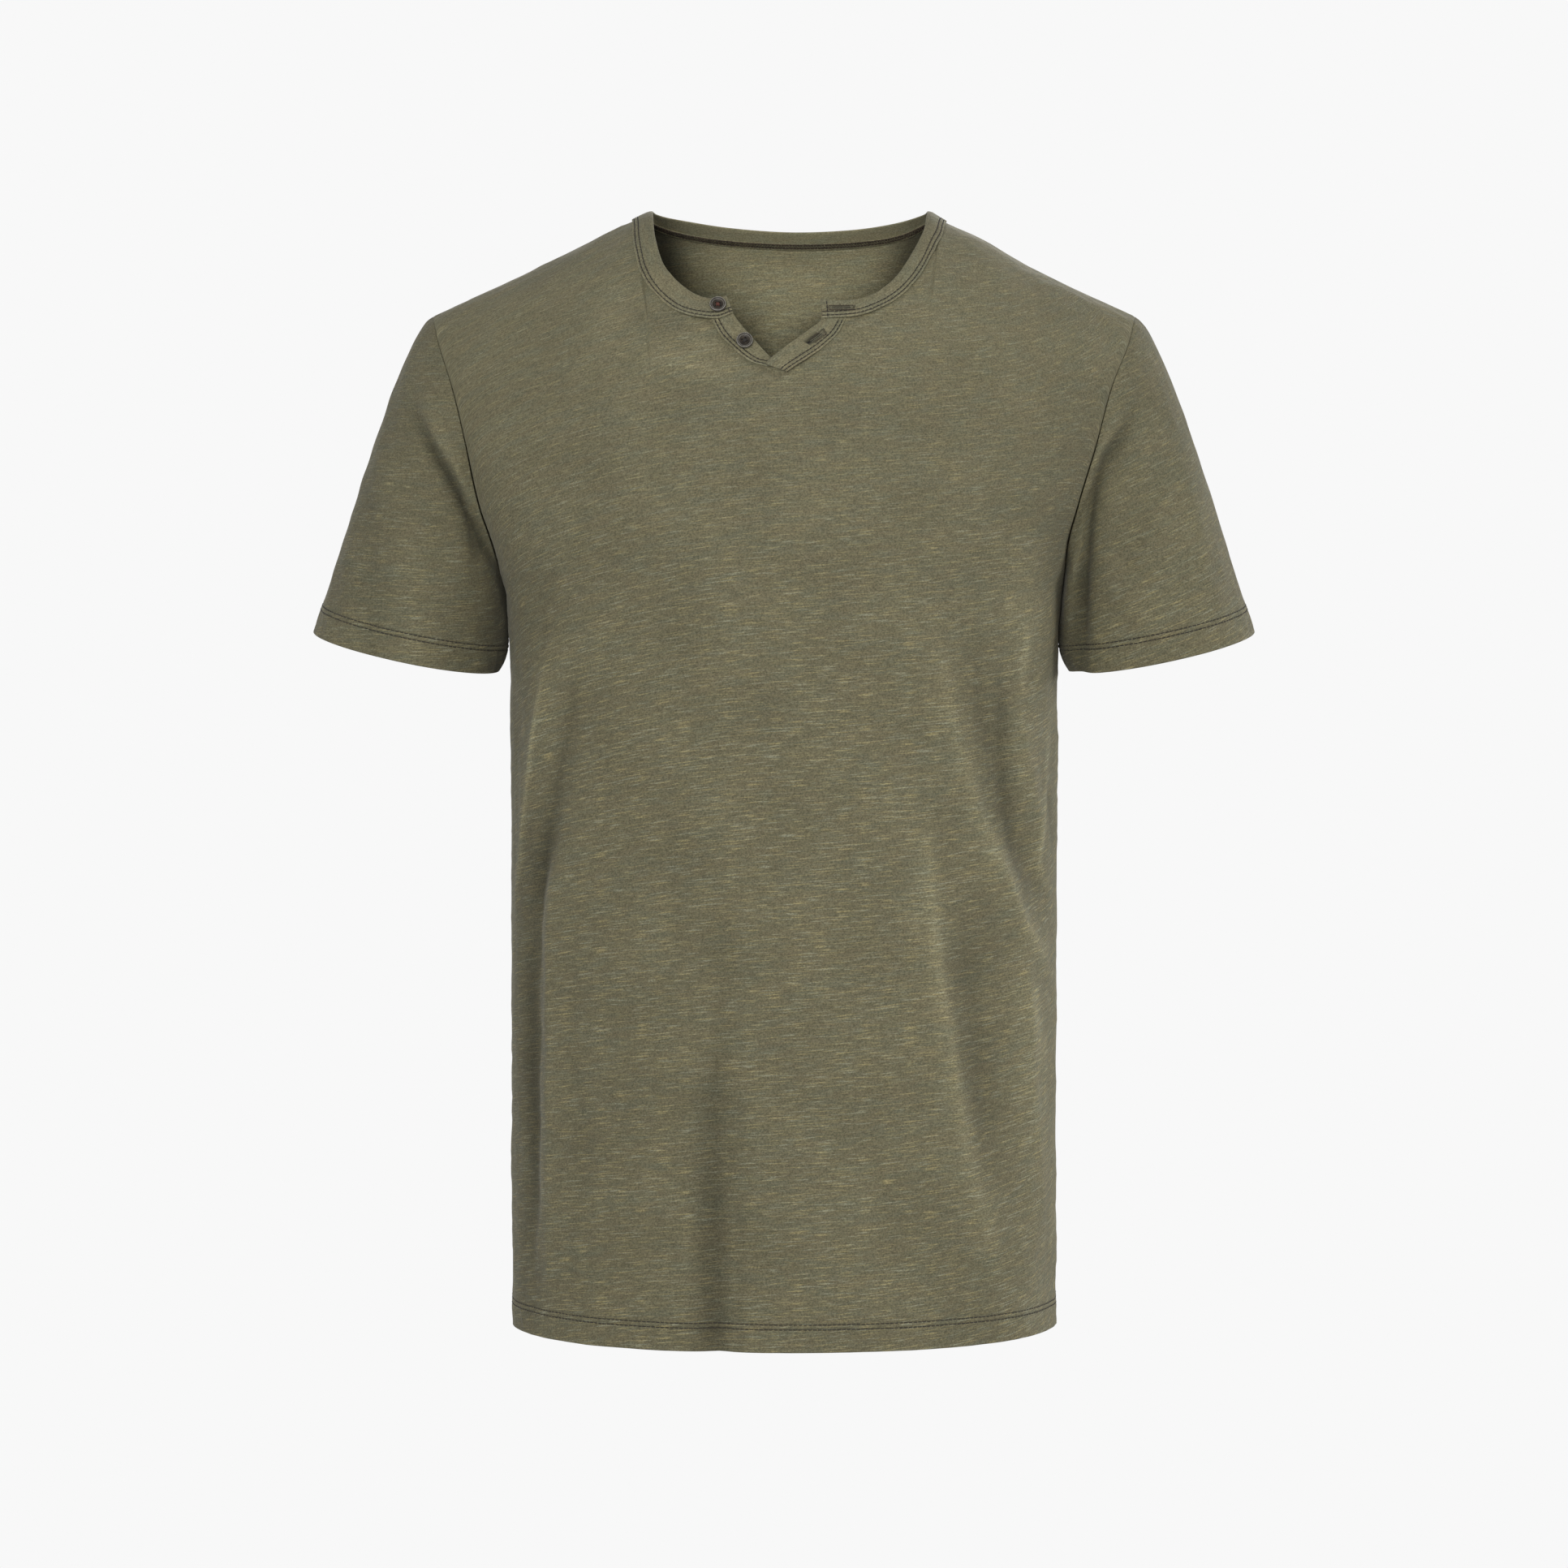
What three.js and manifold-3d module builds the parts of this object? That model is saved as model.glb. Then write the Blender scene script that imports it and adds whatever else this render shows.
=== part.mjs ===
// A short-sleeved henley shirt in slub jersey, filled out as if it were worn, with an open two-button
// neck. Sizes are in millimetres, +Z is up and the front faces -Y. The origin is midway between the two
// high points of the shoulders. Every piece of cloth is a thin wall on one form: a torso whose level
// sections are superellipses, which closes over the shoulders along a ridge, and two sleeves that run
// from its armholes to their cuffs.
import * as THREE from "three";
import { mergeVertices } from "three/addons/utils/BufferGeometryUtils.js";
import Module from "manifold-3d";

const wasm = await Module();
wasm.setup();

// Driving sizes
const WALL = 1.2; // thickness of one layer of cloth
const SEAM_GAP = 0.3; // between two pieces that are sewn together
const HEM_Z = -711; // the hem is level, 711 below the high points of the shoulders
const ARM_Z = -245; // bottom of the armholes
const ROUNDNESS = 2.2; // exponent of the torso's level sections
const FRONT_ARCH = 2.2; // exponent of the side profile from the chest up to the shoulder ridge
const BACK_ARCH = 2.6; // the same from the back, which is fuller
const FRONT = -1;
const BACK = 1;
const WEARER_RIGHT = -1; // the wearer's right is at -X
const WEARER_LEFT = 1;
const QUARTER = Math.PI / 2;

// The shoulder ridge, where front and back meet, as seen from the front
const RIDGE = [
  { x: -223.5, z: -68 },
  { x: -158, z: -38 },
  { x: -116, z: -17.2 },
  { x: -96, z: -8 },
  { x: -83, z: -2.8 },
  { x: 91, z: -2.8 },
  { x: 101, z: -8 },
  { x: 122, z: -17.2 },
  { x: 158, z: -37.6 },
  { x: 223.5, z: -68 },
];

// Torso below the armholes: half width, and depth of the front and of the back from the side seams
const BELOW = [
  { z: -711, half: 174.5, front: 125, back: 122 },
  { z: -560, half: 174.5, front: 124, back: 116 },
  { z: -400, half: 174.5, front: 124, back: 108 },
  { z: -281, half: 174.7, front: 126, back: 114 },
  { z: -245, half: 177, front: 127, back: 118 },
];

// Torso from the armpit (rise 0) to the ridge (rise 1): half width at the armhole on the wearer's right
// and left, how far the armhole's edge stands forward and back, and how far the cloth has wrapped round
// when it reaches it
const ABOVE = [
  { rise: 0, right: 177, left: 177, armFront: 0, armBack: 0, wrap: 1 },
  { rise: 0.15, right: 183, left: 178.5, armFront: 34, armBack: 36, wrap: 0.997 },
  { rise: 0.3, right: 191.5, left: 185, armFront: 50, armBack: 52, wrap: 0.985 },
  { rise: 0.5, right: 199, left: 195.5, armFront: 57, armBack: 60, wrap: 0.96 },
  { rise: 0.7, right: 207.5, left: 205, armFront: 52, armBack: 56, wrap: 0.93 },
  { rise: 0.88, right: 217.5, left: 217, armFront: 33, armBack: 38, wrap: 0.9 },
  { rise: 0.97, right: 221.8, left: 221.6, armFront: 15, armBack: 17, wrap: 0.885 },
  { rise: 1, right: 223.5, left: 223.5, armFront: 0, armBack: 0, wrap: 0.88 },
];

// Sleeves, given on the wearer's left: the cuff's outer and inner ends, its half depth, and how much
// lower its front edge hangs
const CUFF = {
  outerX: 300.3,
  outerZ: -268.3,
  innerX: 182,
  innerZ: -293.8,
  halfDepth: 60,
  frontDrop: 5.2,
};
// How the sleeve leaves the armhole and meets the cuff, from under the arm (out -1) by its front and
// back (0) to its top (1): direction (sideways, away from its middle, up) and pull
const SLEEVE_RUN = {
  leaves: [
    { out: -1, side: 0, away: 0, up: -1, pull: 60 },
    { out: 0, side: 0.66, away: 0.05, up: -0.75, pull: 95 },
    { out: 1, side: 0.82, away: 0, up: -0.57, pull: 70 },
  ],
  meets: [
    { out: -1, side: 0.5, away: 0, up: -0.87, pull: 60 },
    { out: 0, side: 0.22, away: 0, up: -0.97, pull: 110 },
    { out: 1, side: 0.315, away: 0, up: -0.95, pull: 370 },
  ],
};

// Neckband, from its end by the buttons round the back to its end by the buttonholes: the edge that is
// sewn down and the edge at the neck hole, as seen from the front, and how far the band is lifted off
// the torso
const NECKBAND = [
  { side: FRONT, sewnX: -31, sewnZ: -71.4, freeX: -35.5, freeZ: -60.4, lift: 2.2 },
  { side: FRONT, sewnX: -42, sewnZ: -74.6, freeX: -42, freeZ: -62.3, lift: 2.2 },
  { side: FRONT, sewnX: -57, sewnZ: -73, freeX: -51, freeZ: -61, lift: 2.2 },
  { side: FRONT, sewnX: -69, sewnZ: -67.5, freeX: -60, freeZ: -55.3, lift: 0.5 },
  { side: FRONT, sewnX: -81, sewnZ: -57, freeX: -69.5, freeZ: -46.5, lift: 0.5 },
  { side: FRONT, sewnX: -89, sewnZ: -44.5, freeX: -76, freeZ: -36.5, lift: 0.5 },
  { side: FRONT, sewnX: -93.5, sewnZ: -27, freeX: -80.5, freeZ: -21, lift: 0.5 },
  { side: FRONT, sewnX: -95, sewnZ: -14.5, freeX: -82, freeZ: -10, lift: 0.6 },
  { side: BACK, sewnX: -96, sewnZ: -8.2, freeX: -83, freeZ: -2.8, lift: 0.6 },
  { side: BACK, sewnX: -91.5, sewnZ: -10.8, freeX: -78.5, freeZ: -4, lift: 0.6 },
  { side: BACK, sewnX: -75, sewnZ: -16.4, freeX: -64, freeZ: -6.2, lift: 0.5 },
  { side: BACK, sewnX: -45, sewnZ: -22, freeX: -36, freeZ: -9.8, lift: 0.5 },
  { side: BACK, sewnX: 4, sewnZ: -24.8, freeX: 4, freeZ: -12.3, lift: 0.5 },
  { side: BACK, sewnX: 53, sewnZ: -23.2, freeX: 44, freeZ: -11, lift: 0.5 },
  { side: BACK, sewnX: 82, sewnZ: -17.8, freeX: 71, freeZ: -7.6, lift: 0.5 },
  { side: BACK, sewnX: 99, sewnZ: -11.2, freeX: 86.5, freeZ: -4.2, lift: 0.6 },
  { side: BACK, sewnX: 103, sewnZ: -9.1, freeX: 90.8, freeZ: -2.8, lift: 0.6 },
  { side: FRONT, sewnX: 100, sewnZ: -15.5, freeX: 89, freeZ: -10.2, lift: 0.6 },
  { side: FRONT, sewnX: 96.5, sewnZ: -24, freeX: 86.5, freeZ: -19, lift: 0.5 },
  { side: FRONT, sewnX: 90, sewnZ: -37, freeX: 80, freeZ: -31.5, lift: 0.5 },
  { side: FRONT, sewnX: 80, sewnZ: -52, freeX: 70.5, freeZ: -46, lift: 0.5 },
  { side: FRONT, sewnX: 66.5, sewnZ: -63.5, freeX: 59, freeZ: -56.2, lift: 0.5 },
  { side: FRONT, sewnX: 50, sewnZ: -71.7, freeX: 48, freeZ: -62, lift: 2.2 },
  { side: FRONT, sewnX: 37, sewnZ: -73.8, freeX: 36, freeZ: -63.7, lift: 2.2 },
  { side: FRONT, sewnX: 23.2, sewnZ: -74.5, freeX: 22.3, freeZ: -63, lift: 2.2 },
];

// Button placket on the wearer's right, from under the band down to the point of the opening
const BUTTON_PLACKET = [
  { side: FRONT, sewnX: -45.5, sewnZ: -70, freeX: -33, freeZ: -66.5, lift: 0.5 },
  { side: FRONT, sewnX: -44, sewnZ: -76, freeX: -31, freeZ: -71.5, lift: 0.5 },
  { side: FRONT, sewnX: -39, sewnZ: -84.5, freeX: -25, freeZ: -79.5, lift: 0.5 },
  { side: FRONT, sewnX: -31, sewnZ: -92.7, freeX: -18.8, freeZ: -86.6, lift: 0.5 },
  { side: FRONT, sewnX: -21, sewnZ: -100.6, freeX: -11.5, freeZ: -94.8, lift: 0.5 },
  { side: FRONT, sewnX: -10, sewnZ: -104, freeX: -5.5, freeZ: -100.2, lift: 0.5 },
];

// Buttonhole placket on the wearer's left, which laps over the other at the point
const BUTTONHOLE_PLACKET = [
  { side: FRONT, sewnX: 39, sewnZ: -70, freeX: 24.5, freeZ: -71, lift: 0.5 },
  { side: FRONT, sewnX: 37.6, sewnZ: -75, freeX: 21.5, freeZ: -76.3, lift: 0.5 },
  { side: FRONT, sewnX: 32.5, sewnZ: -84, freeX: 16, freeZ: -80.3, lift: 0.5 },
  { side: FRONT, sewnX: 22.6, sewnZ: -93.2, freeX: 9, freeZ: -85.7, lift: 0.9 },
  { side: FRONT, sewnX: 12.5, sewnZ: -100.4, freeX: 0.5, freeZ: -92.3, lift: 2.2 },
  { side: FRONT, sewnX: 4, sewnZ: -106, freeX: -8, freeZ: -99, lift: 2.2 },
  { side: FRONT, sewnX: 1.9, sewnZ: -107.6, freeX: -11.3, freeZ: -103.2, lift: 2.2 },
];

// Share of a strip's width, from its sewn edge, at which the torso's cloth ends under it
const UNDERLAP = 0.36;
const BAND_ON_PLACKET = 2; // rows at each end of the neckband that lie over a placket
const RIGHT_RIDGE = NECKBAND.findIndex((row) => row.side === BACK);
const LEFT_RIDGE = NECKBAND.findLastIndex((row) => row.side === BACK);
// How far what is cut from the panels reaches: above the neck, away from the wearer, and past the ridge
const CUTTER = { top: 30, reach: 200, past: 5 };

// Buttons: where they sit as seen from the front, and how far the cloth under them is lifted
const BUTTON = {
  radius: 5.15,
  thickness: 2.4,
  rim: 1.2,
  dish: 0.8,
  edge: 0.5,
  holeRadius: 0.7,
  holeSpread: 1.5,
};
const BUTTONS = [
  { name: "button_upper", x: -40.6, z: -67.3, lift: 2.2 },
  { name: "button_lower", x: -24.1, z: -88.7, lift: 0.5 },
];
// Buttonholes: long slits that lean as seen from the front, in degrees
const SLIT = { length: 11, width: 1, reach: 20 };
const BUTTONHOLES = [
  { piece: "neckband", x: 35.1, z: -68.4, lean: 2 },
  { piece: "placket_buttonhole", x: 18.9, z: -87, lean: 40 },
];

// Folds of the front: a path seen from the front, with the height of the fold above the form (troughs
// are negative) and the half width of its crest
const FRONT_FOLDS = [
  // deep trough down the wearer's right side, and the ridge beside it
  [
    { x: -118, z: -290, height: 0, width: 12 },
    { x: -134, z: -349, height: -2, width: 11 },
    { x: -147, z: -400, height: -4.5, width: 9 },
    { x: -156, z: -440, height: -6, width: 8 },
    { x: -159, z: -584, height: -6, width: 8 },
    { x: -159, z: -650, height: -3.5, width: 8 },
    { x: -158, z: -700, height: -1, width: 8 },
  ],
  [
    { x: -128, z: -280, height: 0, width: 12 },
    { x: -141, z: -400, height: 2, width: 9 },
    { x: -147, z: -450, height: 3, width: 7 },
    { x: -148, z: -600, height: 3, width: 7 },
    { x: -147, z: -690, height: 1, width: 7 },
  ],
  [
    { x: -140, z: -255, height: 0, width: 12 },
    { x: -151, z: -310, height: 3, width: 10 },
    { x: -163, z: -370, height: 2.5, width: 8 },
    { x: -168, z: -430, height: 0, width: 7 },
  ],
  // shallow creases between the side and the middle
  [
    { x: -129, z: -457, height: 0, width: 8 },
    { x: -131, z: -520, height: -1.5, width: 7 },
    { x: -127, z: -594, height: -2, width: 7 },
    { x: -132, z: -650, height: 0, width: 8 },
  ],
  [
    { x: -70, z: -350, height: 0, width: 9 },
    { x: -68, z: -427, height: -1.3, width: 9 },
    { x: -72, z: -490, height: 0, width: 9 },
  ],
  // trough that falls to the hem, right of the middle as worn
  [
    { x: -40, z: -400, height: 0, width: 8 },
    { x: -39, z: -500, height: -2.2, width: 9 },
    { x: -44, z: -556, height: -4.5, width: 13 },
    { x: -41, z: -626, height: -6, width: 12 },
    { x: -40, z: -725, height: -7, width: 11 },
  ],
  // long ridge from the wearer's left breast to the side, and the trough outside it
  [
    { x: 86, z: -240, height: 0, width: 10 },
    { x: 99, z: -297, height: 3.5, width: 9 },
    { x: 108, z: -340, height: 4.5, width: 8 },
    { x: 118, z: -380, height: 4.5, width: 8 },
    { x: 133, z: -415, height: 4.5, width: 8 },
    { x: 149, z: -450, height: 4, width: 8 },
    { x: 168, z: -480, height: 1, width: 8 },
  ],
  [
    { x: 112, z: -262, height: 0, width: 9 },
    { x: 123, z: -310, height: -3.5, width: 9 },
    { x: 135, z: -355, height: -4, width: 9 },
    { x: 150, z: -405, height: -3.5, width: 8 },
    { x: 166, z: -442, height: -1, width: 8 },
  ],
  [
    { x: 143, z: -300, height: 0, width: 8 },
    { x: 150, z: -344, height: 3.5, width: 8 },
    { x: 157, z: -380, height: 3.5, width: 7 },
    { x: 168, z: -430, height: 0, width: 7 },
  ],
  // full lobe below the wearer's left armhole
  [
    { x: 146, z: -200, height: 0, width: 16 },
    { x: 151, z: -240, height: 5, width: 17 },
    { x: 152, z: -280, height: 3.5, width: 15 },
    { x: 150, z: -318, height: 0, width: 12 },
  ],
  // long ridge from the waist to the hem on the wearer's left, and the hollow outside it
  [
    { x: 78, z: -340, height: 0, width: 12 },
    { x: 84, z: -407, height: 3, width: 11 },
    { x: 92, z: -455, height: 4.5, width: 11 },
    { x: 98, z: -510, height: 5, width: 11 },
    { x: 106, z: -560, height: 5, width: 11 },
    { x: 116, z: -610, height: 4, width: 11 },
    { x: 131, z: -655, height: 2, width: 11 },
    { x: 140, z: -690, height: 0, width: 11 },
  ],
  [
    { x: 108, z: -420, height: 0, width: 14 },
    { x: 116, z: -480, height: -3.5, width: 14 },
    { x: 126, z: -560, height: -3.5, width: 14 },
    { x: 134, z: -620, height: 0, width: 12 },
  ],
  [
    { x: 149, z: -448, height: 0, width: 8 },
    { x: 153, z: -500, height: 3.5, width: 8 },
    { x: 155, z: -550, height: 3.5, width: 8 },
    { x: 161, z: -610, height: 2.5, width: 8 },
    { x: 163, z: -660, height: 0, width: 8 },
  ],
  [
    { x: 42, z: -585, height: 0, width: 11 },
    { x: 50, z: -632, height: 2, width: 10 },
    { x: 57, z: -690, height: 1, width: 10 },
  ],
  // drag line from the wearer's right shoulder to the point of the opening
  [
    { x: -125, z: -78, height: 0, width: 9 },
    { x: -92, z: -90, height: 1.4, width: 8 },
    { x: -62, z: -98, height: 1, width: 7 },
    { x: -36, z: -108, height: 0, width: 7 },
  ],
];

// Folds of the back, as seen through it from the front
const BACK_FOLDS = [
  [
    { x: -60, z: -180, height: 0, width: 14 },
    { x: -74, z: -300, height: -3, width: 14 },
    { x: -84, z: -430, height: -5, width: 13 },
    { x: -90, z: -580, height: -4, width: 14 },
    { x: -92, z: -720, height: -2, width: 14 },
  ],
  [
    { x: -104, z: -300, height: 0, width: 12 },
    { x: -112, z: -430, height: 3.5, width: 12 },
    { x: -116, z: -600, height: 3.5, width: 12 },
    { x: -118, z: -720, height: 1.5, width: 12 },
  ],
  [
    { x: -140, z: -260, height: 0, width: 10 },
    { x: -148, z: -360, height: -3.5, width: 9 },
    { x: -152, z: -500, height: -3.5, width: 9 },
    { x: -150, z: -640, height: 0, width: 9 },
  ],
  [
    { x: -6, z: -330, height: 0, width: 13 },
    { x: 2, z: -450, height: -3, width: 13 },
    { x: -4, z: -600, height: -4, width: 14 },
    { x: -2, z: -725, height: -5, width: 14 },
  ],
  [
    { x: 56, z: -200, height: 0, width: 14 },
    { x: 66, z: -330, height: 3, width: 13 },
    { x: 78, z: -470, height: 4.5, width: 12 },
    { x: 84, z: -620, height: 4, width: 13 },
    { x: 86, z: -720, height: 2, width: 13 },
  ],
  [
    { x: 92, z: -280, height: 0, width: 12 },
    { x: 106, z: -420, height: -4.5, width: 12 },
    { x: 114, z: -580, height: -4.5, width: 12 },
    { x: 116, z: -700, height: -1.5, width: 12 },
  ],
  [
    { x: 142, z: -270, height: 0, width: 9 },
    { x: 148, z: -380, height: 3.5, width: 9 },
    { x: 152, z: -540, height: 3, width: 9 },
    { x: 150, z: -670, height: 0, width: 9 },
  ],
];

// Folds of the sleeves' fronts: the cloth that drops from the shoulder and tucks in towards the armpit
const SLEEVE_FOLDS = {
  [WEARER_RIGHT]: [
    [
      { x: -240, z: -118, height: 0, width: 5 },
      { x: -228, z: -137, height: -3, width: 5 },
      { x: -215, z: -160, height: -4.5, width: 5 },
      { x: -200, z: -187, height: -5, width: 6 },
      { x: -190, z: -215, height: -4, width: 7 },
    ],
    [
      { x: -232, z: -112, height: 0, width: 7 },
      { x: -219, z: -135, height: 3, width: 7 },
      { x: -206, z: -160, height: 2.5, width: 6 },
      { x: -198, z: -178, height: 0, width: 5 },
    ],
    [
      { x: -262, z: -160, height: 0, width: 8 },
      { x: -261, z: -205, height: -2, width: 8 },
      { x: -258, z: -262, height: -1.5, width: 8 },
      { x: -258, z: -300, height: -0.5, width: 8 },
    ],
    [
      { x: -235, z: -180, height: 0, width: 16 },
      { x: -233, z: -225, height: 2, width: 16 },
      { x: -231, z: -290, height: 1.5, width: 16 },
    ],
  ],
  [WEARER_LEFT]: [
    [
      { x: 228, z: -108, height: 0, width: 8 },
      { x: 214, z: -140, height: -3.5, width: 8 },
      { x: 195, z: -172, height: -5.5, width: 8 },
      { x: 187, z: -205, height: -6.5, width: 7 },
      { x: 186, z: -255, height: -5.5, width: 6 },
      { x: 187, z: -300, height: -2.5, width: 6 },
    ],
    [
      { x: 213, z: -126, height: 0, width: 6 },
      { x: 201, z: -143, height: 2.5, width: 5 },
      { x: 191, z: -162, height: 2.5, width: 5 },
      { x: 186, z: -184, height: 0, width: 5 },
    ],
    [
      { x: 236, z: -150, height: 0, width: 12 },
      { x: 226, z: -190, height: -1.8, width: 12 },
      { x: 214, z: -240, height: -1, width: 12 },
      { x: 210, z: -290, height: 0, width: 12 },
    ],
    [
      { x: 258, z: -150, height: 0, width: 14 },
      { x: 262, z: -210, height: 2, width: 14 },
      { x: 268, z: -280, height: 1.5, width: 14 },
    ],
  ],
};
// Folds of the sleeves' backs, on the wearer's left; the other sleeve mirrors them
const SLEEVE_BACK_FOLDS = [
  [
    { x: 226, z: -120, height: 0, width: 8 },
    { x: 212, z: -160, height: -3.5, width: 8 },
    { x: 203, z: -205, height: -4.5, width: 8 },
    { x: 201, z: -280, height: -2, width: 8 },
  ],
  [
    { x: 250, z: -140, height: 0, width: 13 },
    { x: 251, z: -200, height: 2.5, width: 13 },
    { x: 256, z: -280, height: 1.5, width: 13 },
  ],
];
const FOLD_STEPS = 6; // points between two rows of a fold's path
const EDGE_FADE = 0.025; // share of a panel's half width over which its folds die away at a side seam
const RIDGE_FADE = 0.12; // the same at the shoulder ridge, in radians
const SLEEVE_FADE = 0.1; // the same at the armhole, as a share of the sleeve's length
const SLEEVE_RIDGE_FADE = 0.3; // the same along its top and under it, as a share of its half depth
const NO_FOLD = 1e-4; // lifts smaller than this are left out

// Grid of each piece
const COLUMNS = 38;
const ROWS_BELOW = 13;
const ROWS_ABOVE = 14;
const SLEEVE_AROUND = 2 * ROWS_ABOVE;
const SLEEVE_ALONG = 11;
const BAND_STEPS = 3; // along the band, between two rows of its table
const PLACKET_STEPS = 3;
const HOLE_STEPS = 2;
const STRIP_ACROSS = 2;
const BUTTON_SIDES = 24;
const HOLE_SIDES = 10;

const clamp = (value, low, high) => Math.min(high, Math.max(low, value));
const mix = (a, b, share) => a + (b - a) * share;
const ease = (share) => {
  const t = clamp(share, 0, 1);
  return t * t * (3 - 2 * t);
};

// The value of a column where key is at, on a smooth curve through a table's rows that never overshoots
function read(table, key, at, column) {
  const t = clamp(at, table[0][key], table[table.length - 1][key]);
  let i = 0;
  while (i < table.length - 2 && t > table[i + 1][key]) i += 1;
  const rise = (n) => (table[n + 1][column] - table[n][column]) / (table[n + 1][key] - table[n][key]);
  const slope = (n) => {
    if (n === 0) return rise(0);
    if (n === table.length - 1) return rise(n - 1);
    const before = rise(n - 1);
    const after = rise(n);
    return before * after <= 0 ? 0 : (2 * before * after) / (before + after);
  };
  const span = table[i + 1][key] - table[i][key];
  const u = (t - table[i][key]) / span;
  return (
    (1 + 2 * u) * (1 - u) ** 2 * table[i][column] +
    u * (1 - u) ** 2 * span * slope(i) +
    u * u * (3 - 2 * u) * table[i + 1][column] +
    u * u * (u - 1) * span * slope(i + 1)
  );
}

// A smooth curve through evenly counted rows, for a path: the value of a column at a row number
function along(table, row, column) {
  const i = clamp(Math.floor(row), 0, table.length - 2);
  const u = row - i;
  const at = (n) => table[clamp(n, 0, table.length - 1)][column];
  const before = (at(i + 1) - at(i - 1)) / (i === 0 ? 1 : 2);
  const after = (at(i + 2) - at(i)) / (i === table.length - 2 ? 1 : 2);
  return (
    (1 + 2 * u) * (1 - u) ** 2 * at(i) +
    u * (1 - u) ** 2 * before +
    u * u * (3 - 2 * u) * at(i + 1) +
    u * u * (u - 1) * after
  );
}

// A fold's path as a run of short pieces
function foldPath(rows) {
  const count = (rows.length - 1) * FOLD_STEPS;
  return Array.from({ length: count + 1 }, (_, n) => {
    const row = n / FOLD_STEPS;
    return {
      x: along(rows, row, "x"),
      z: along(rows, row, "z"),
      height: along(rows, row, "height"),
      width: along(rows, row, "width"),
    };
  });
}

// How far all the folds together lift the cloth at x, z
function lifted(paths, x, z) {
  let sum = 0;
  for (const path of paths) {
    let best = Infinity;
    let height = 0;
    for (let n = 0; n + 1 < path.length; n += 1) {
      const a = path[n];
      const b = path[n + 1];
      const dx = b.x - a.x;
      const dz = b.z - a.z;
      const share = clamp(((x - a.x) * dx + (z - a.z) * dz) / (dx * dx + dz * dz), 0, 1);
      const width = mix(a.width, b.width, share);
      const away = Math.hypot(x - a.x - share * dx, z - a.z - share * dz) / width;
      if (away < best) {
        best = away;
        height = mix(a.height, b.height, share);
      }
    }
    sum += height * Math.exp(-best * best);
  }
  return sum;
}

const frontPaths = FRONT_FOLDS.map(foldPath);
const backPaths = BACK_FOLDS.map(foldPath);
const bodyPaths = (side) => (side === FRONT ? frontPaths : backPaths);
const mirrored = (rows) => rows.map((row) => ({ ...row, x: -row.x }));
const sleevePaths = (hand, side) => {
  if (side === FRONT) return SLEEVE_FOLDS[hand].map(foldPath);
  return SLEEVE_BACK_FOLDS.map((rows) => foldPath(hand === WEARER_LEFT ? rows : mirrored(rows)));
};

// Depth of a level section at a share of its half width, as a share of its full depth
function section(share, wrap) {
  const reach = (value) => (1 - Math.min(1, Math.abs(value)) ** ROUNDNESS) ** (1 / ROUNDNESS);
  return (reach(share * wrap) - reach(wrap)) / (1 - reach(wrap));
}

const depthColumn = (side) => (side === FRONT ? "front" : "back");
const armColumn = (side) => (side === FRONT ? "armFront" : "armBack");
const archOf = (side) => (side === FRONT ? FRONT_ARCH : BACK_ARCH);
const riseOf = (side, tilt) => Math.cos(tilt) ** (2 / archOf(side));
const halfAt = (rise, x) => read(ABOVE, "rise", rise, x < 0 ? "right" : "left");

// The torso above the armpits. tilt is 0 at the shoulder ridge and a quarter turn level with the armpits.
function above(side, x, tilt) {
  const rise = riseOf(side, tilt);
  const full = BELOW.at(-1)[depthColumn(side)] * Math.sin(tilt) ** (2 / archOf(side));
  const share = clamp(x / halfAt(rise, x), -1, 1);
  const arm = read(ABOVE, "rise", rise, armColumn(side));
  const depth = arm + (full - arm) * section(share, read(ABOVE, "rise", rise, "wrap"));
  return new THREE.Vector3(x, side * depth, mix(ARM_Z, read(RIDGE, "x", x, "z"), rise));
}

// The torso below the armpits
function below(side, share, z) {
  const half = read(BELOW, "z", z, "half");
  const depth = read(BELOW, "z", z, depthColumn(side)) * section(share, 1);
  return new THREE.Vector3(share * half, side * depth, z);
}

// A panel's plain point. share runs from the wearer's right to left, and level from -1 at the hem by 0
// at the armpit to 1 at the ridge.
function panelPoint(side, share, level) {
  if (level <= 0) return below(side, share, mix(HEM_Z, ARM_Z, level + 1));
  const tilt = QUARTER * (1 - level);
  return above(side, share * halfAt(riseOf(side, tilt), share), tilt);
}

// Direction in which a surface faces at u, v, away from a point inside it
function facing(surface, u, v, core, step = 1e-3) {
  const du = surface(u + step, v).sub(surface(u - step, v));
  const dv = surface(u, v + step).sub(surface(u, v - step));
  const normal = du.cross(dv).normalize();
  return normal.dot(surface(u, v).sub(core)) < 0 ? normal.negate() : normal;
}

const torsoCore = (point) => new THREE.Vector3(0, 0, Math.min(point.z, ARM_Z));

// A panel's point with its folds, which die away at the seams
function panelCloth(side) {
  const plain = (share, level) => panelPoint(side, clamp(share, -1, 1), clamp(level, -1, 1));
  return (share, level) => {
    const point = plain(share, level);
    const seamFade = clamp((1 - Math.abs(share)) / EDGE_FADE, 0, 1);
    const ridgeFade = ease((QUARTER * (1 - level)) / RIDGE_FADE);
    const height = seamFade * ridgeFade * lifted(bodyPaths(side), point.x, point.z);
    if (Math.abs(height) < NO_FOLD) return point;
    return point.addScaledVector(facing(plain, share, level, torsoCore(point)), height);
  };
}

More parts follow.
